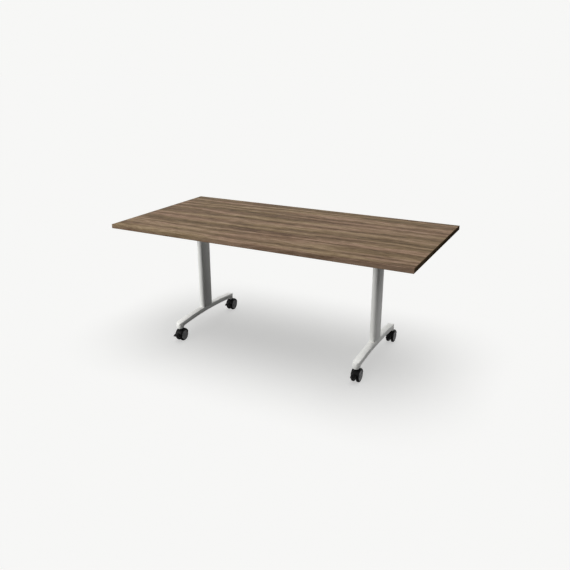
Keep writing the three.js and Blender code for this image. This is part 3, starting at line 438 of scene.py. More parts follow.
def walnut_group():
    takes = {
        "Place": "vector",
        "Dark": ("colour", (0.055, 0.032, 0.0165, 1)),
        "Brown": ("colour", (0.169, 0.109, 0.0605, 1)),
        "Light": ("colour", (0.312, 0.219, 0.141, 1)),
        "Contrast": ("value", 2.0),
    }
    gives = {"Color": "colour", "Height": "value", "Roughness": "value"}
    tree, enter, leave = effect_group("walnut_figure", takes, gives)

    wandering = swayed(tree, enter["Place"], WANDER_SCALE, WANDER_REACH)
    bent = swayed(tree, wandering, RIPPLE_SCALE, RIPPLE_REACH)

    depth = add(tree, "ShaderNodeSeparateXYZ", {0: bent}).outputs
    across = maths(tree, "ADD", depth["Y"], depth["Z"])
    drift = streaks(tree, bent, DRIFT_WIDTH, DRIFT_STRETCH, detail=1.0)
    drift = maths(tree, "MULTIPLY", drift, DRIFT_TURNS)
    turns = maths(tree, "MULTIPLY_ADD", across, 1 / BAND_PITCH, drift)
    bands = maths(tree, "SINE", maths(tree, "MULTIPLY", turns, 2 * math.pi))
    lines = streaks(tree, bent, LINE_WIDTH, LINE_STRETCH, detail=4.0, roughness=0.65)
    flecks = streaks(tree, bent, FLECK_WIDTH, FLECK_STRETCH, detail=2.0)
    fibres = streaks(tree, bent, FIBRE_WIDTH, FIBRE_STRETCH, detail=2.0)
    pores = streaks(tree, bent, PORE_WIDTH, PORE_STRETCH, detail=1.0)
    pores = between(tree, pores, PORE_FROM, PORE_FULL)

    layered = maths(tree, "MULTIPLY", bands, BAND_WEIGHT)
    for layer, weight in ((lines, LINE_WEIGHT), (flecks, FLECK_WEIGHT), (fibres, FIBRE_WEIGHT)):
        layered = maths(tree, "MULTIPLY_ADD", layer, weight, layered)
    tone = maths(tree, "MULTIPLY_ADD", layered, enter["Contrast"], 0.5)

    colour = mixed(tree, between(tree, tone, 0.0, 0.5, ends="LINEAR"), enter["Dark"], enter["Brown"])
    colour = mixed(tree, between(tree, tone, 0.5, 1.0, ends="LINEAR"), colour, enter["Light"])
    hue = streaks(tree, bent, HUE_WIDTH, HUE_STRETCH, detail=1.0)
    warm = between(tree, hue, HUE_FROM, HUE_FULL)
    olive = between(tree, hue, -HUE_FROM, -HUE_FULL)
    colour = mixed(tree, warm, colour, WARM_TINT, "MULTIPLY")
    colour = mixed(tree, olive, colour, OLIVE_TINT, "MULTIPLY")
    colour = mixed(tree, maths(tree, "MULTIPLY", pores, PORE_WEIGHT), colour, enter["Dark"])
    tree.links.new(colour, leave["Color"])

    raised = maths(tree, "SUBTRACT", 1.0, pores)
    tree.links.new(raised, leave["Height"])
    rough = between(tree, lines, -LINE_LIMIT, LINE_LIMIT, ROUGH_IN_DARK, ROUGH_IN_LIGHT)
    tree.links.new(rough, leave["Roughness"])
    return tree


WALNUT = walnut_group()
print("walnut figure:", len(WALNUT.nodes), "nodes")

# %% [markdown]
# ## Laminate and edge bands
#
# The board is the figure seen from above. Its underside has no print: such boards have a plain brown
# backing sheet there, to keep them flat. The piece's own normal tells the two faces apart, so the backing
# stays underneath when the top is flipped up.
#
# The bands are thin plastic strips in the same print. Their colours carry painted light: the long bands are
# painted lighter than the board, to make up for the weaker light on their upright faces, and the short bands
# are painted much darker, as painted shade. Along the long sides the grain runs with X. On the short sides
# it runs with Y, so their coordinates are turned a quarter.

# %% Laminate and edge bands
BACKING = (0.120, 0.097, 0.078, 1)
BACKING_FIBRE = (0.150, 0.123, 0.100, 1)
BACKING_SCALE = 90.0
BACKING_ROUGHNESS = 0.62
# A face looks down where its normal has less Z than this.
FACES_DOWN = -0.5
PORE_DEPTH = 0.00005


def laminate_finish():
    material, tree, shader = finish("walnut_laminate", Specular_IOR_Level=0.05)
    where = place(tree)
    figure = effect(tree, WALNUT, {"Place": where})
    normal = add(tree, "ShaderNodeTexCoord").outputs["Normal"]
    upright = add(tree, "ShaderNodeSeparateXYZ", {0: normal}).outputs["Z"]
    under = maths(tree, "LESS_THAN", upright, FACES_DOWN)
    fibres = noise(tree, where, BACKING_SCALE, detail=4.0, roughness=0.7)
    backing = mixed(tree, between(tree, fibres, low=0.3, high=0.7), BACKING, BACKING_FIBRE)
    wire(
        tree, shader,
        Base_Color=mixed(tree, under, figure["Color"], backing),
        Roughness=mixed_value(tree, under, figure["Roughness"], BACKING_ROUGHNESS),
        Normal=bumped(tree, figure["Height"], PORE_DEPTH),
    )
    return material


def band_finish(name, turn, dark, brown, light):
    material, tree, shader = finish(name, Specular_IOR_Level=0.0)
    sockets = {"Vector": place(tree), "Rotation": (0, 0, turn)}
    turned_place = add(tree, "ShaderNodeMapping", sockets).outputs[0]
    inputs = {"Place": turned_place, "Dark": dark, "Brown": brown, "Light": light}
    wire_skin(tree, shader, effect(tree, WALNUT, inputs), PORE_DEPTH)
    return material


LAMINATE = laminate_finish()
# The long bands: the print painted lighter than the board, as painted light for their upright faces.
LONG_BAND_PAINTED_LIGHT = band_finish(
    "walnut_band_long_painted_light",
    turn=0.0,
    dark=(0.105, 0.068, 0.040, 1),
    brown=(0.200, 0.142, 0.094, 1),
    light=(0.265, 0.190, 0.125, 1),
)
# The short bands: the print painted much darker, as painted shade.
SHORT_BAND_PAINTED_SHADE = band_finish(
    "walnut_band_short_painted_shade",
    turn=math.pi / 2,
    dark=(0.042, 0.027, 0.015, 1),
    brown=(0.076, 0.052, 0.032, 1),
    light=(0.110, 0.076, 0.047, 1),
)
print("top finishes:", LAMINATE.name, LONG_BAND_PAINTED_LIGHT.name, SHORT_BAND_PAINTED_SHADE.name)

# %% [markdown]
# ## Powder coat
#
# Powder coat is baked on, and sets with a faint orange peel: soft dimples a millimetre or two across. Its
# colour is very even, so only a slow mottle of a few per cent is added. The feet, the columns and the
# beam all wear it, in two greys, so the skin is a group.

# %% Powder coat
PEEL_SIZE = 0.0016
PEEL_DEPTH = 0.00004
MOTTLE_SCALE = 14.0
MOTTLE_SHADE = (0.35, 0.35, 0.33, 1)
GLOSS_WANDER = 0.12


def powder_group():
    takes = {"Place": "vector", "Paint": "colour", "Mottle": ("value", 0.03), "Gloss": "value"}
    gives = {"Color": "colour", "Roughness": "value", "Height": "value"}
    tree, enter, leave = effect_group("powder_skin", takes, gives)
    peel = noise(tree, enter["Place"], 1 / PEEL_SIZE)
    slow = noise(tree, enter["Place"], MOTTLE_SCALE, detail=3.0, roughness=0.6)
    shade = maths(tree, "MULTIPLY", between(tree, slow, low=0.3, high=0.7), enter["Mottle"])
    tree.links.new(mixed(tree, shade, enter["Paint"], MOTTLE_SHADE), leave["Color"])
    tree.links.new(maths(tree, "MULTIPLY_ADD", slow, GLOSS_WANDER, enter["Gloss"]), leave["Roughness"])
    tree.links.new(peel, leave["Height"])
    return tree


POWDER = powder_group()


def powder_finish(name, paint, gloss):
    material, tree, shader = finish(name, Specular_IOR_Level=0.3)
    skin = effect(tree, POWDER, {"Place": place(tree), "Paint": paint, "Gloss": gloss})
    wire_skin(tree, shader, skin, PEEL_DEPTH)
    return material


GREY_PAINT = powder_finish("light_grey_powder_coat", paint=(0.895, 0.895, 0.86, 1), gloss=0.30)
BEAM_PAINT = powder_finish("grey_powder_coat", paint=(0.36, 0.36, 0.35, 1), gloss=0.34)
print("paints:", GREY_PAINT.name, BEAM_PAINT.name)

# %% [markdown]
# ## Bare metal
#
# The fork heads and tilt arms are cast aluminium with a grainy skin; pins, shaft, hooks and spring are
# zinc plated steel with fine turning marks. Both are the same recipe at other scales: a metal whose
# roughness wanders, and a bump of grain or of marks. Stretching the noise across the piece turns grain
# into marks, so the stretch is one of the group's inputs.

# %% Bare metal
CLOUD_SCALE = 38.0
CLOUD_ROUGHENS = 0.22


def metal_group():
    takes = {"Place": "vector", "Stretch": "vector", "Grain": "value", "Base": "value"}
    gives = {"Roughness": "value", "Height": "value", "Tarnish": "value"}
    tree, enter, leave = effect_group("metal_skin", takes, gives)
    drawn = vectors(tree, "MULTIPLY", enter["Place"], enter["Stretch"])
    grain = noise(tree, drawn, enter["Grain"], detail=3.0, roughness=0.6)
    clouds = noise(tree, enter["Place"], CLOUD_SCALE, detail=4.0, roughness=0.6)
    rough = maths(tree, "MULTIPLY_ADD", clouds, CLOUD_ROUGHENS, enter["Base"])
    tree.links.new(rough, leave["Roughness"])
    tree.links.new(grain, leave["Height"])
    tree.links.new(between(tree, clouds, low=0.45, high=0.75), leave["Tarnish"])
    return tree


METAL = metal_group()


def metal_finish(name, bright, dull, stretch, grain, base, depth):
    material, tree, shader = finish(name, Metallic=1.0)
    inputs = {"Place": place(tree), "Stretch": stretch, "Grain": grain, "Base": base}
    skin = effect(tree, METAL, inputs)
    wire(
        tree, shader,
        Base_Color=mixed(tree, skin["Tarnish"], bright, dull),
        Roughness=skin["Roughness"],
        Normal=bumped(tree, skin["Height"], depth),
    )
    return material


CASTING = metal_finish(
    "sand_cast_aluminium",
    bright=(0.43, 0.43, 0.44, 1),
    dull=(0.32, 0.32, 0.33, 1),
    stretch=(1, 1, 1),
    grain=700.0,
    base=0.38,
    depth=0.00009,
)
STEEL = metal_finish(
    "zinc_plated_steel",
    bright=(0.62, 0.63, 0.64, 1),
    dull=(0.50, 0.51, 0.53, 1),
    stretch=(6, 0.3, 0.3),
    grain=260.0,
    base=0.20,
    depth=0.00002,
)
print("metals:", CASTING.name, STEEL.name)

# %% [markdown]
# ## Moulded plastic and rubber
#
# Castor bodies, pedals and the paddle are black nylon, moulded in a tool whose walls were etched to a
# fine even grain. The wheel centres are a grey plastic with the same grain, and tyres and stop sleeves
# are rubber with a coarser one. What is near the floor takes on a little dust, which is paler than what
# it lies on. Grain and dust together make one group.

# %% Moulded plastic and rubber
DUST = (0.20, 0.19, 0.175, 1)
DUST_TOP = 0.075
PATCH_SCALE = 60.0
PATCH_ROUGHENS = 0.14


def moulded_group():
    takes = {"Place": "vector", "Color": "colour", "Grain": "value", "Base": "value", "Dust": "value"}
    gives = {"Color": "colour", "Roughness": "value", "Height": "value"}
    tree, enter, leave = effect_group("moulded_skin", takes, gives)
    grain = noise(tree, enter["Place"], enter["Grain"])
    patches = noise(tree, enter["Place"], PATCH_SCALE, detail=5.0, roughness=0.65)
    height = add(tree, "ShaderNodeSeparateXYZ", {0: enter["Place"]}).outputs["Z"]
    near_floor = between(tree, height, low=DUST_TOP, high=0.0)
    settled = maths(tree, "MULTIPLY", between(tree, patches, low=0.42, high=0.72), near_floor)
    settled = maths(tree, "MULTIPLY", settled, enter["Dust"])
    tree.links.new(mixed(tree, settled, enter["Color"], DUST), leave["Color"])
    rough = maths(tree, "MULTIPLY_ADD", patches, PATCH_ROUGHENS, enter["Base"])
    tree.links.new(rough, leave["Roughness"])
    tree.links.new(grain, leave["Height"])
    return tree


MOULDED = moulded_group()


def moulded_finish(name, grey, shine, grain, base, dust, depth):
    material, tree, shader = finish(name, Specular_IOR_Level=shine)
    inputs = {"Place": place(tree), "Color": grey, "Grain": grain, "Base": base, "Dust": dust}
    wire_skin(tree, shader, effect(tree, MOULDED, inputs), depth)
    return material


BLACK_PLASTIC = moulded_finish(
    "black_nylon", (0.006, 0.006, 0.006, 1),
    shine=0.08, grain=1500.0, base=0.30, dust=0.04, depth=0.00003)
GREY_PLASTIC = moulded_finish(
    "grey_wheel_plastic", (0.25, 0.25, 0.255, 1),
    shine=0.2, grain=1500.0, base=0.34, dust=0.08, depth=0.00002)
TYRE = moulded_finish(
    "black_tyre", (0.005, 0.005, 0.005, 1),
    shine=0.06, grain=900.0, base=0.58, dust=0.08, depth=0.00003)
STOP_RUBBER = moulded_finish(
    "black_rubber", (0.014, 0.014, 0.014, 1),
    shine=0.2, grain=1200.0, base=0.62, dust=0.0, depth=0.00003)
print("plastics and rubber:", BLACK_PLASTIC.name, GREY_PLASTIC.name, TYRE.name, STOP_RUBBER.name)

# %% [markdown]
# ## Soft edges
#
# Most measured pieces have the right shape already. They only lack the small round that every real edge
# has, and smooth shading over their facets. Both can be added by modifiers, which leave the measured mesh
# alone: Weld joins its triangles, Decimate in planar mode dissolves the lines inside flat faces, Bevel
# rounds what is sharper than a set angle, and a few geometry nodes shade the rest smoothly.

# %% Soft edges
CREASE = math.radians(32)
FLAT = math.radians(1)
WELD = 0.00002
ROUND_STEPS = 2


def shading_nodes():
    tree = bpy.data.node_groups.new("soft_shading", "GeometryNodeTree")
    for direction in ("INPUT", "OUTPUT"):
        tree.interface.new_socket("Geometry", in_out=direction, socket_type="NodeSocketGeometry")
    enter = tree.nodes.new("NodeGroupInput")
    leave = tree.nodes.new("NodeGroupOutput")
    angle = tree.nodes.new("GeometryNodeInputMeshEdgeAngle").outputs["Unsigned Angle"]
    sockets = {"A": angle, "B": CREASE}
    sharp = add(tree, "FunctionNodeCompare", sockets, operation="GREATER_THAN").outputs[0]
    sockets = {"Mesh": enter.outputs[0], "Remove Custom": True, "Edge Sharpness": sharp}
    smooth = add(tree, "GeometryNodeSetMeshNormal", sockets, mode="SHARPNESS")
    tree.links.new(smooth.outputs[0], leave.inputs[0])
    return tree


SOFT_SHADING = shading_nodes()


def soften(piece, edge_round):
    """Rounds the sharp edges of a piece by edge_round metres and shades its facets smoothly."""
    if edge_round:
        weld = piece.modifiers.new("weld", "WELD")
        weld.merge_threshold = WELD
        flat = piece.modifiers.new("dissolve_flats", "DECIMATE")
        flat.decimate_type = "DISSOLVE"
        flat.angle_limit = FLAT
        bevel = piece.modifiers.new("edge_round", "BEVEL")
        bevel.width = edge_round
        bevel.segments = ROUND_STEPS
        bevel.limit_method = "ANGLE"
        bevel.angle_limit = CREASE
    shade = piece.modifiers.new("soft_shading", "NODES")
    shade.node_group = SOFT_SHADING


print("rounds edges sharper than", round(math.degrees(CREASE)), "degrees")

# %% [markdown]
# ## Dress the measured pieces
#
# The model's record names a material slot for each piece, so the slot can pick the finish and the size of
# the edge round. Only the bands on the short sides differ: they get the turned print, in darker colours that
# are painted shade. The board itself needs no softening, because it is a plain block between its bands.

# %% Dress the measured pieces
FINISH_OF_SLOT = {
    "laminate": LAMINATE,
    "edging": LONG_BAND_PAINTED_LIGHT,
    "grey_paint": GREY_PAINT,
    "beam_paint": BEAM_PAINT,
    "cast_aluminium": CASTING,
    "steel": STEEL,
    "black_plastic": BLACK_PLASTIC,
    "grey_plastic": GREY_PLASTIC,
    "tyre_rubber": TYRE,
    "stop_rubber": STOP_RUBBER,
}
EDGE_ROUND = {
    "grey_paint": 0.0006,
    "beam_paint": 0.0008,
    "cast_aluminium": 0.0010,
    "steel": 0.0003,
    "black_plastic": 0.0006,
    "stop_rubber": 0.0003,
}
SHORT_BANDS = ("edge_band_left", "edge_band_right")


def paint(piece, material):
    piece.data.materials.clear()
    piece.data.materials.append(material)


slot_of = {part["node"]: part["material_slot"] for part in frame["record"]["subparts"]}
for name, slot in slot_of.items():
    # The short bands get the print in darker colours, as painted shade; the rest get their slot's finish.
    paint(nodes[name], SHORT_BAND_PAINTED_SHADE if name in SHORT_BANDS else FINISH_OF_SLOT[slot])
    if name != "top_board":
        soften(nodes[name], EDGE_ROUND.get(slot, 0))
print("dressed", len(slot_of), "measured pieces")

# %% [markdown]
# ## A lathe
#
# A lathe is the natural tool for round things: draw half of the section once, and spin it about an axis.
# Blender's Screw modifier can do that. Here the rings of points are made directly, because then a section
# can end in a tip on the axis or close on itself, and the faces are known to shut.

# %% A lathe
WHEEL_STEPS = 72


def linked(name, mesh):
    """Puts a mesh into the scene as a piece."""
    made = bpy.data.objects.new(name, mesh)
    bpy.context.scene.collection.objects.link(made)
    return made


def circle(radius, steps):
    """The points of a circle, as pairs of lengths."""
    angles = [2 * math.pi * step / steps for step in range(steps)]
    return [(radius * math.cos(angle), radius * math.sin(angle)) for angle in angles]


def bridge(shape, near, far):
    """Joins two rings of points by faces. A ring may be a single point."""
    steps = max(len(near), len(far))
    for here in range(steps):
        there = (here + 1) % steps
        corners = [near[here % len(near)], near[there % len(near)]]
        corners += [far[there % len(far)], far[here % len(far)]]
        shape.faces.new(list(dict.fromkeys(corners)))


def mesh_of(shape, name):
    """Turns a built shape into a mesh whose faces look outward."""
    bmesh.ops.recalc_face_normals(shape, faces=shape.faces)
    mesh = bpy.data.meshes.new(name)
    shape.to_mesh(mesh)
    shape.free()
    return mesh


def lathe(name, profile, closed, steps=WHEEL_STEPS):
    """Spins [(x, radius)] about the X axis. A closed profile gives a ring, an open one has tips at 0."""
    shape = bmesh.new()
    rings = []
    for x, radius in profile:
        around = circle(radius, steps if radius > 0 else 1)
        rings.append([shape.verts.new((x, y, z)) for y, z in around])
    followers = rings[1:] + rings[:1] if closed else rings[1:]
    for near, far in zip(rings, followers):
        bridge(shape, near, far)
    return linked(name, mesh_of(shape, name))


print("lathe with", WHEEL_STEPS, "sides")

# %% [markdown]
# ## Wheel sections
#
# Each castor has two wheels: a soft tyre, moulded onto a grey centre with a rim, a shallow dish and a
# round cap. The tyre has a big round at its outer shoulder and a small one at its inner edge, with a low
# crown between them, so that it runs on a narrow strip. A section needs only a few points, and its rounds
# are quarter circles.

# %% Wheel sections
QUARTER_STEPS = 5
TYRE_ROUND = 0.0034
TYRE_SHOULDER = 0.0062
TYRE_CROWN = 0.0003
# Points of a wheel centre: metres in from its outer face, and then the radius, or metres in from its rim.
CAP = [
    (0.0011, 0), (0.0011, 0.0022), (0.0003, 0.0032), (0, 0.0050), (0, 0.0088),
    (0.0004, 0.0104), (0.0012, 0.0112), (0.0027, 0.0120), (0.0030, 0.0132),
]
DISH_AND_RIM = [
    (0.0024, 0.0068), (0.0018, 0.0054), (0.0005, 0.0042), (0, 0.0034), (0, 0.0010),
    (0.0004, 0.0003), (0.0012, 0),
]
CAP_THICKNESS = 0.0040


def quarter(x, radius, size, start):
    """Points on a quarter round about (x, radius), from the angle start on."""
    angles = [math.radians(start + 90 * step / QUARTER_STEPS) for step in range(QUARTER_STEPS + 1)]
    return [(x + size * math.cos(angle), radius + size * math.sin(angle)) for angle in angles]


def tyre_profile(radius, bore, width):
    """The section of a tyre whose outer face lies at x = 0 and whose inner face at x = width."""
    tread = radius - TYRE_CROWN
    outer = quarter(TYRE_SHOULDER, tread - TYRE_SHOULDER, TYRE_SHOULDER, 90)
    inner = quarter(width - TYRE_ROUND, tread - TYRE_ROUND, TYRE_ROUND, 0)
    crown = ((TYRE_SHOULDER + width - TYRE_ROUND) / 2, radius)
    return [(0, bore)] + outer[::-1] + [crown] + inner[::-1] + [(width, bore)]


def centre_profile(radius, width, bore):
    """The section of a wheel centre, from the middle of its cap to the end of its axle hole."""
    rim = [(x, radius - inset) for x, inset in DISH_AND_RIM]
    back = [(width, radius), (width, bore), (CAP_THICKNESS, bore), (CAP_THICKNESS, 0)]
    return CAP + rim + back


print("wheel centre:", len(CAP) + len(DISH_AND_RIM), "points on its face")

# %% [markdown]
# ## Castor wheels
#
# The measured wheels are turned with few sides, which shows in their outline, so they are turned again
# here, with more sides and a finer profile. The radius, the faces and the axle come from the measured
# wheel, so nothing grows. The two wheels of a castor face away from each other, so the right one is
# mirrored, which turns its faces inside out, and they are flipped back.

# %% Castor wheels
SEAT_GAP = 0.0001

axle_of = {joint["name"]: Vector(joint["pos_m"]) for joint in frame["joints"]}
for corner in PLACES:
    axle_low, axle_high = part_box(f"castor_axle_{corner}")
    bore = (axle_high.z - axle_low.z) / 2 + SEAT_GAP
    for side in SIDES:
        axle = axle_of[f"spin_{corner}_{side}"]
        low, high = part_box(f"tyre_{corner}_{side}")
        hub_low, hub_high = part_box(f"wheel_centre_{corner}_{side}")
        hub_radius = (hub_high.y - hub_low.y) / 2
        width = high.x - low.x
        face = low.x if side == "left" else high.x
        outward = Matrix.Diagonal((1 if side == "left" else -1, 1, 1, 1))
        seat = Matrix.Translation((face, axle.y, axle.z)) @ outward
        section = tyre_profile(axle.z, hub_radius + SEAT_GAP, width)
        tyre = lathe(f"fine_tyre_{corner}_{side}", section, True)
        section = centre_profile(hub_radius, width, bore)
        centre = lathe(f"fine_wheel_centre_{corner}_{side}", section, False)
        for piece, node, slot in ((tyre, "tyre", "tyre_rubber"), (centre, "wheel_centre", "grey_plastic")):
            piece.data.transform(seat)
            if side == "right":
                piece.data.flip_normals()
            paint(piece, FINISH_OF_SLOT[slot])
            soften(piece, 0)
            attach(piece, f"wheel_{corner}_{side}")
            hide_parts(f"{node}_{corner}_{side}")
print("turned", len(PLACES) * len(SIDES), "wheels of radius", round(axle.z * 1000, 1), "mm")

# %% [markdown]
# ## Grip ribs
#
# A shoe slips off a smooth pedal and a finger off a smooth paddle, so both are moulded with low round
# ribs. A rib is a thin rod with round ends, sunk partly into the surface. Where the surface is comes from
# a ray shot at the measured piece, so the ribs follow its slope.

# %% Grip ribs
RIB_RADIUS = 0.0009
RIB_SUNK = 0.0008
RIB_STEPS = 12
UP = Vector((0, 0, 1))
FAR = 2.0


def rod_profile(length, radius):
    """A rod along X with round ends, centred on 0."""
    end = quarter(length / 2 - radius, 0, radius, 0)
    start = [(-x, height) for x, height in end]
    return start + end[::-1]


def surface_at(node, x, y, z, direction):
    """The point and the normal where a ray from x, y, z first meets a measured piece."""
    tree = BVHTree.FromObject(nodes[node], bpy.context.evaluated_depsgraph_get())
    point, normal, _, _ = tree.ray_cast(Vector((x, y, z)), direction)
    return point, normal


def grip_ribs(name, node, body, length, rows, side):
    """A row of ribs along X, one at each y of rows, as one piece. side is UP or -UP."""
    low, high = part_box(node)
    shape = bmesh.new()
    rod = lathe(name, rod_profile(length, RIB_RADIUS), False, RIB_STEPS)
    for y in rows:
        point, normal = surface_at(node, (low.x + high.x) / 2, y, FAR * side.z, -side)
        copy = rod.data.copy()
        copy.transform(Matrix.Translation(point + normal * (RIB_RADIUS - RIB_SUNK)))
        shape.from_mesh(copy)
        bpy.data.meshes.remove(copy)
    shape.to_mesh(rod.data)
    shape.free()
    paint(rod, BLACK_PLASTIC)
    soften(rod, 0)
    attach(rod, body)


print("ribs:", round(2 * RIB_RADIUS * 1000, 1), "mm thick")

# %% [markdown]
# ## Ribs on the pedals and the paddle
#
# A pedal has three ribs near its free edge, on top, where the shoe presses. The paddle has six above and
# six below, because a hand holds it from both sides. The rows are counted from the front edge of each
# measured piece.

# %% Ribs on the pedals and the paddle
PEDAL_RIB_ROWS = 3
PEDAL_RIB_PITCH = 0.0035
PEDAL_RIB_START = 0.0034
PEDAL_RIB_INSET = 0.0035
PADDLE_RIB_ROWS = 6
PADDLE_RIB_PITCH = 0.0065
PADDLE_RIB_START = 0.014
PADDLE_RIB_LENGTH = 0.042

for corner in PLACES:
    node = f"brake_pedal_{corner}"
    low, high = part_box(node)
    rows = [low.y + PEDAL_RIB_START + row * PEDAL_RIB_PITCH for row in range(PEDAL_RIB_ROWS)]
    rib_length = high.x - low.x - 2 * PEDAL_RIB_INSET
    grip_ribs(f"pedal_grip_{corner}", node, f"pedal_{corner}", rib_length, rows, UP)
low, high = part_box("release_paddle")
rows = [low.y + PADDLE_RIB_START + row * PADDLE_RIB_PITCH for row in range(PADDLE_RIB_ROWS)]
for label, side in (("upper", UP), ("lower", -UP)):
    grip_ribs(f"paddle_grip_{label}", "release_paddle", "latch", PADDLE_RIB_LENGTH, rows, side)
print("ribbed", len(PLACES), "pedals and the paddle")

# %% [markdown]
# ## Screw and bolt heads
#
# A head is a short turned dome with a recess in it: a cross for the driver, or a hexagon for the key. A
# Boolean modifier could cut the recess. Blender's triangle fill is simpler: it fills the flat between the
# head's rim and the recess, and can go round the hole.

# %% Screw and bolt heads
SCREW_RADIUS = 0.0046
SCREW_HEIGHT = 0.0026
BOLT_RADIUS = 0.0078
BOLT_HEIGHT = 0.0088
HEAD_STEPS = 32
# A head's outline as shares of its height and radius, and its recess as shares of its radius.
PAN_HEAD = ((0, 0.94), (0.2, 1), (0.55, 0.97), (0.85, 0.80), (1, 0.56))
SOCKET_HEAD = ((0, 1), (0.9, 1), (1, 0.91))
CROSS_REACH, CROSS_HALF = 0.46, 0.11
HEXAGON_REACH = 0.56


def cross_recess(reach, half):
    """The outline of a plus sign."""
    arm = [(reach, -half), (reach, half), (half, half)]
    turns = [Matrix.Rotation(math.radians(90 * quarter_turn), 2) for quarter_turn in range(4)]
    return [turn @ Vector(point) for turn in turns for point in arm]


def head_mesh(name, radius, height, outline, recess, depth):
    """A steel head that faces +Z, with a recess cut into its end by depth, a share of its height."""
    shape = bmesh.new()
    rings = []
    for up, out in outline:
        rings.append([shape.verts.new((x, y, up * height)) for x, y in circle(out * radius, HEAD_STEPS)])
    rim = [shape.verts.new((x * radius, y * radius, height)) for x, y in recess]
    pit = [shape.verts.new((x * radius, y * radius, height - depth * height)) for x, y in recess]
    for near, far in list(zip(rings, rings[1:])) + [(rim, pit)]:
        bridge(shape, near, far)
    shape.faces.new(rings[0][::-1])
    shape.faces.new(pit)
    edges = []
    for ring in (rings[-1], rim):
        edges += [shape.edges.get((ring[step - 1], ring[step])) for step in range(len(ring))]
    bmesh.ops.triangle_fill(shape, use_beauty=True, edges=edges)
    mesh = mesh_of(shape, name)
    mesh.materials.append(STEEL)
    return mesh


cross = cross_recess(CROSS_REACH, CROSS_HALF)
hexagon = circle(HEXAGON_REACH, 6)
screw_mesh = head_mesh("pan_head", SCREW_RADIUS, SCREW_HEIGHT, PAN_HEAD, cross, depth=0.6)
bolt_mesh = head_mesh("socket_head", BOLT_RADIUS, BOLT_HEIGHT, SOCKET_HEAD, hexagon, depth=0.6)
print("heads:", screw_mesh.name, "and", bolt_mesh.name)

# %% [markdown]
# ## Screws and bolts
#
# Under the top, eight pan head wood screws hold each tilt arm. Under each foot, two socket head bolts go
# up into the column. A ray from below finds the face on which each head sits. All screws share one mesh
# and all bolts another, so that twenty heads cost little more than two.

# %% Screws and bolts
SCREW_ROWS = 4
SCREW_SETBACK = 0.040
SCREW_SPREAD = 0.040
DRIVER_TURN = 37
BOLT_SPACING = 0.060
FACE_DOWN = Matrix.Rotation(math.pi, 4, "X")
# A ray up the middle of a hole would miss the face, so it is shot this far beside the middle.
BESIDE_SCREW = 0.0042
BESIDE_BOLT = 0.9 * BOLT_RADIUS


def fasten(name, mesh, matrix, body):
    """Sets one fastener in place."""
    piece = linked(name, mesh)
    piece.matrix_world = matrix
    soften(piece, 0)
    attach(piece, body)


arm_screws = 0
for side in SIDES:
    arm = f"tilt_arm_{side}"
    low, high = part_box(arm)
    pitch = (high.y - low.y - 2 * SCREW_SETBACK) / (SCREW_ROWS - 1)
    middle = (low.x + high.x) / 2
    for row in range(SCREW_ROWS):
        y = low.y + SCREW_SETBACK + row * pitch
        for x in (middle - SCREW_SPREAD / 2, middle + SCREW_SPREAD / 2):
            flange, _ = surface_at(arm, x + BESIDE_SCREW, y, -FAR, UP)
            turn = Matrix.Rotation(math.radians(DRIVER_TURN * arm_screws), 4, "Z")
            seat = Matrix.Translation((x, y, flange.z)) @ FACE_DOWN @ turn
            arm_screws += 1
            fasten(f"arm_screw_{arm_screws}", screw_mesh, seat, "top")

    low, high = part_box(f"column_{side}")
    middle = (low.x + high.x) / 2
    for end, y in (("front", -BOLT_SPACING / 2), ("back", BOLT_SPACING / 2)):
        sole, _ = surface_at(f"foot_{side}", middle + BESIDE_BOLT, y, -FAR, UP)
        seat = Matrix.Translation((middle, y, sole.z)) @ FACE_DOWN
        fasten(f"foot_bolt_{side}_{end}", bolt_mesh, seat, "base")
print("set", arm_screws, "arm screws and", 2 * len(SIDES), "foot bolts")

# %% [markdown]
# ## Beam bolts and pin rings
#
# Two bolts hold each end of the beam. They go in from the slot in the fork head, where the tilt arm
# swings, so their heads are sunk below its wall. The pin that the arm turns on has a head outside and a
# push-on ring inside: a dished spring washer, which slides on and then bites into the pin. It is turned
# on the same lathe as the wheels. Rays shot at the fork head find the walls on which they sit.

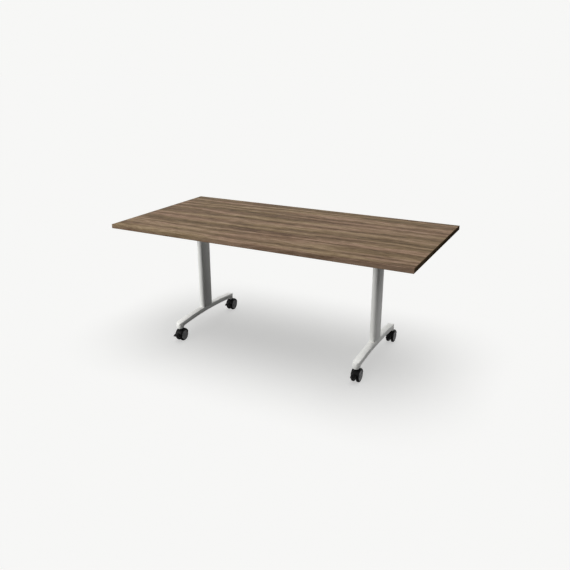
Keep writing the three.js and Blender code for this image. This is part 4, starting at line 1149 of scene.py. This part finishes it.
# %% Beam bolts and pin rings
BEAM_BOLT_RADIUS = 0.0042
BEAM_BOLT_HEIGHT = 0.0080
BEAM_BOLT_SUNK = 0.0012
BEAM_BOLT_SPACING = 0.024
SUNK_HEAD = ((0, 1), (0.95, 1), (1, 0.92))
PIN_RADIUS = 0.0080
RING_RADIUS = 0.0128
RING_THICKNESS = 0.0007
RING_DISH = 0.0006
BESIDE_BEAM_BOLT = 1.5 * BEAM_BOLT_RADIUS
BESIDE_PIN = 0.8 * RING_RADIUS

sunk_mesh = head_mesh("sunk_head", BEAM_BOLT_RADIUS, BEAM_BOLT_HEIGHT, SUNK_HEAD, hexagon, depth=0.5)
dished = [
    (0, RING_RADIUS),
    (RING_THICKNESS, RING_RADIUS),
    (RING_DISH + RING_THICKNESS, PIN_RADIUS),
    (RING_DISH, PIN_RADIUS),
]
beam_low, beam_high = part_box("cross_beam")
beam = (beam_low + beam_high) / 2
pivot = axle_of["top_flip"]
for side in SIDES:
    outward = Vector((-1 if side == "left" else 1, 0, 0))
    fork = f"fork_head_{side}"
    low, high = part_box(fork)
    slot_x = (low.x + high.x) / 2
    facing = Matrix.Rotation(outward.x * math.pi / 2, 4, "Y")
    for end, y in (("front", beam.y - BEAM_BOLT_SPACING / 2), ("back", beam.y + BEAM_BOLT_SPACING / 2)):
        wall, _ = surface_at(fork, slot_x, y, beam.z + BESIDE_BEAM_BOLT, -outward)
        base_x = wall.x - outward.x * (BEAM_BOLT_SUNK + BEAM_BOLT_HEIGHT)
        seat = Matrix.Translation((base_x, y, beam.z)) @ facing
        fasten(f"beam_bolt_{side}_{end}", sunk_mesh, seat, "base")

    wall, _ = surface_at(fork, 0, pivot.y, pivot.z + BESIDE_PIN, outward)
    ring = lathe(f"pin_ring_{side}", dished, True, HEAD_STEPS)
    inward = Matrix.Diagonal((-outward.x, 1, 1, 1))
    ring.data.transform(Matrix.Translation((wall.x, pivot.y, pivot.z)) @ inward)
    if outward.x > 0:
        ring.data.flip_normals()
    paint(ring, STEEL)
    soften(ring, 0)
    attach(ring, "base")
    print(side, "ring and bolts at x =", round(wall.x * 1000, 1), "and", round(base_x * 1000, 1), "mm")
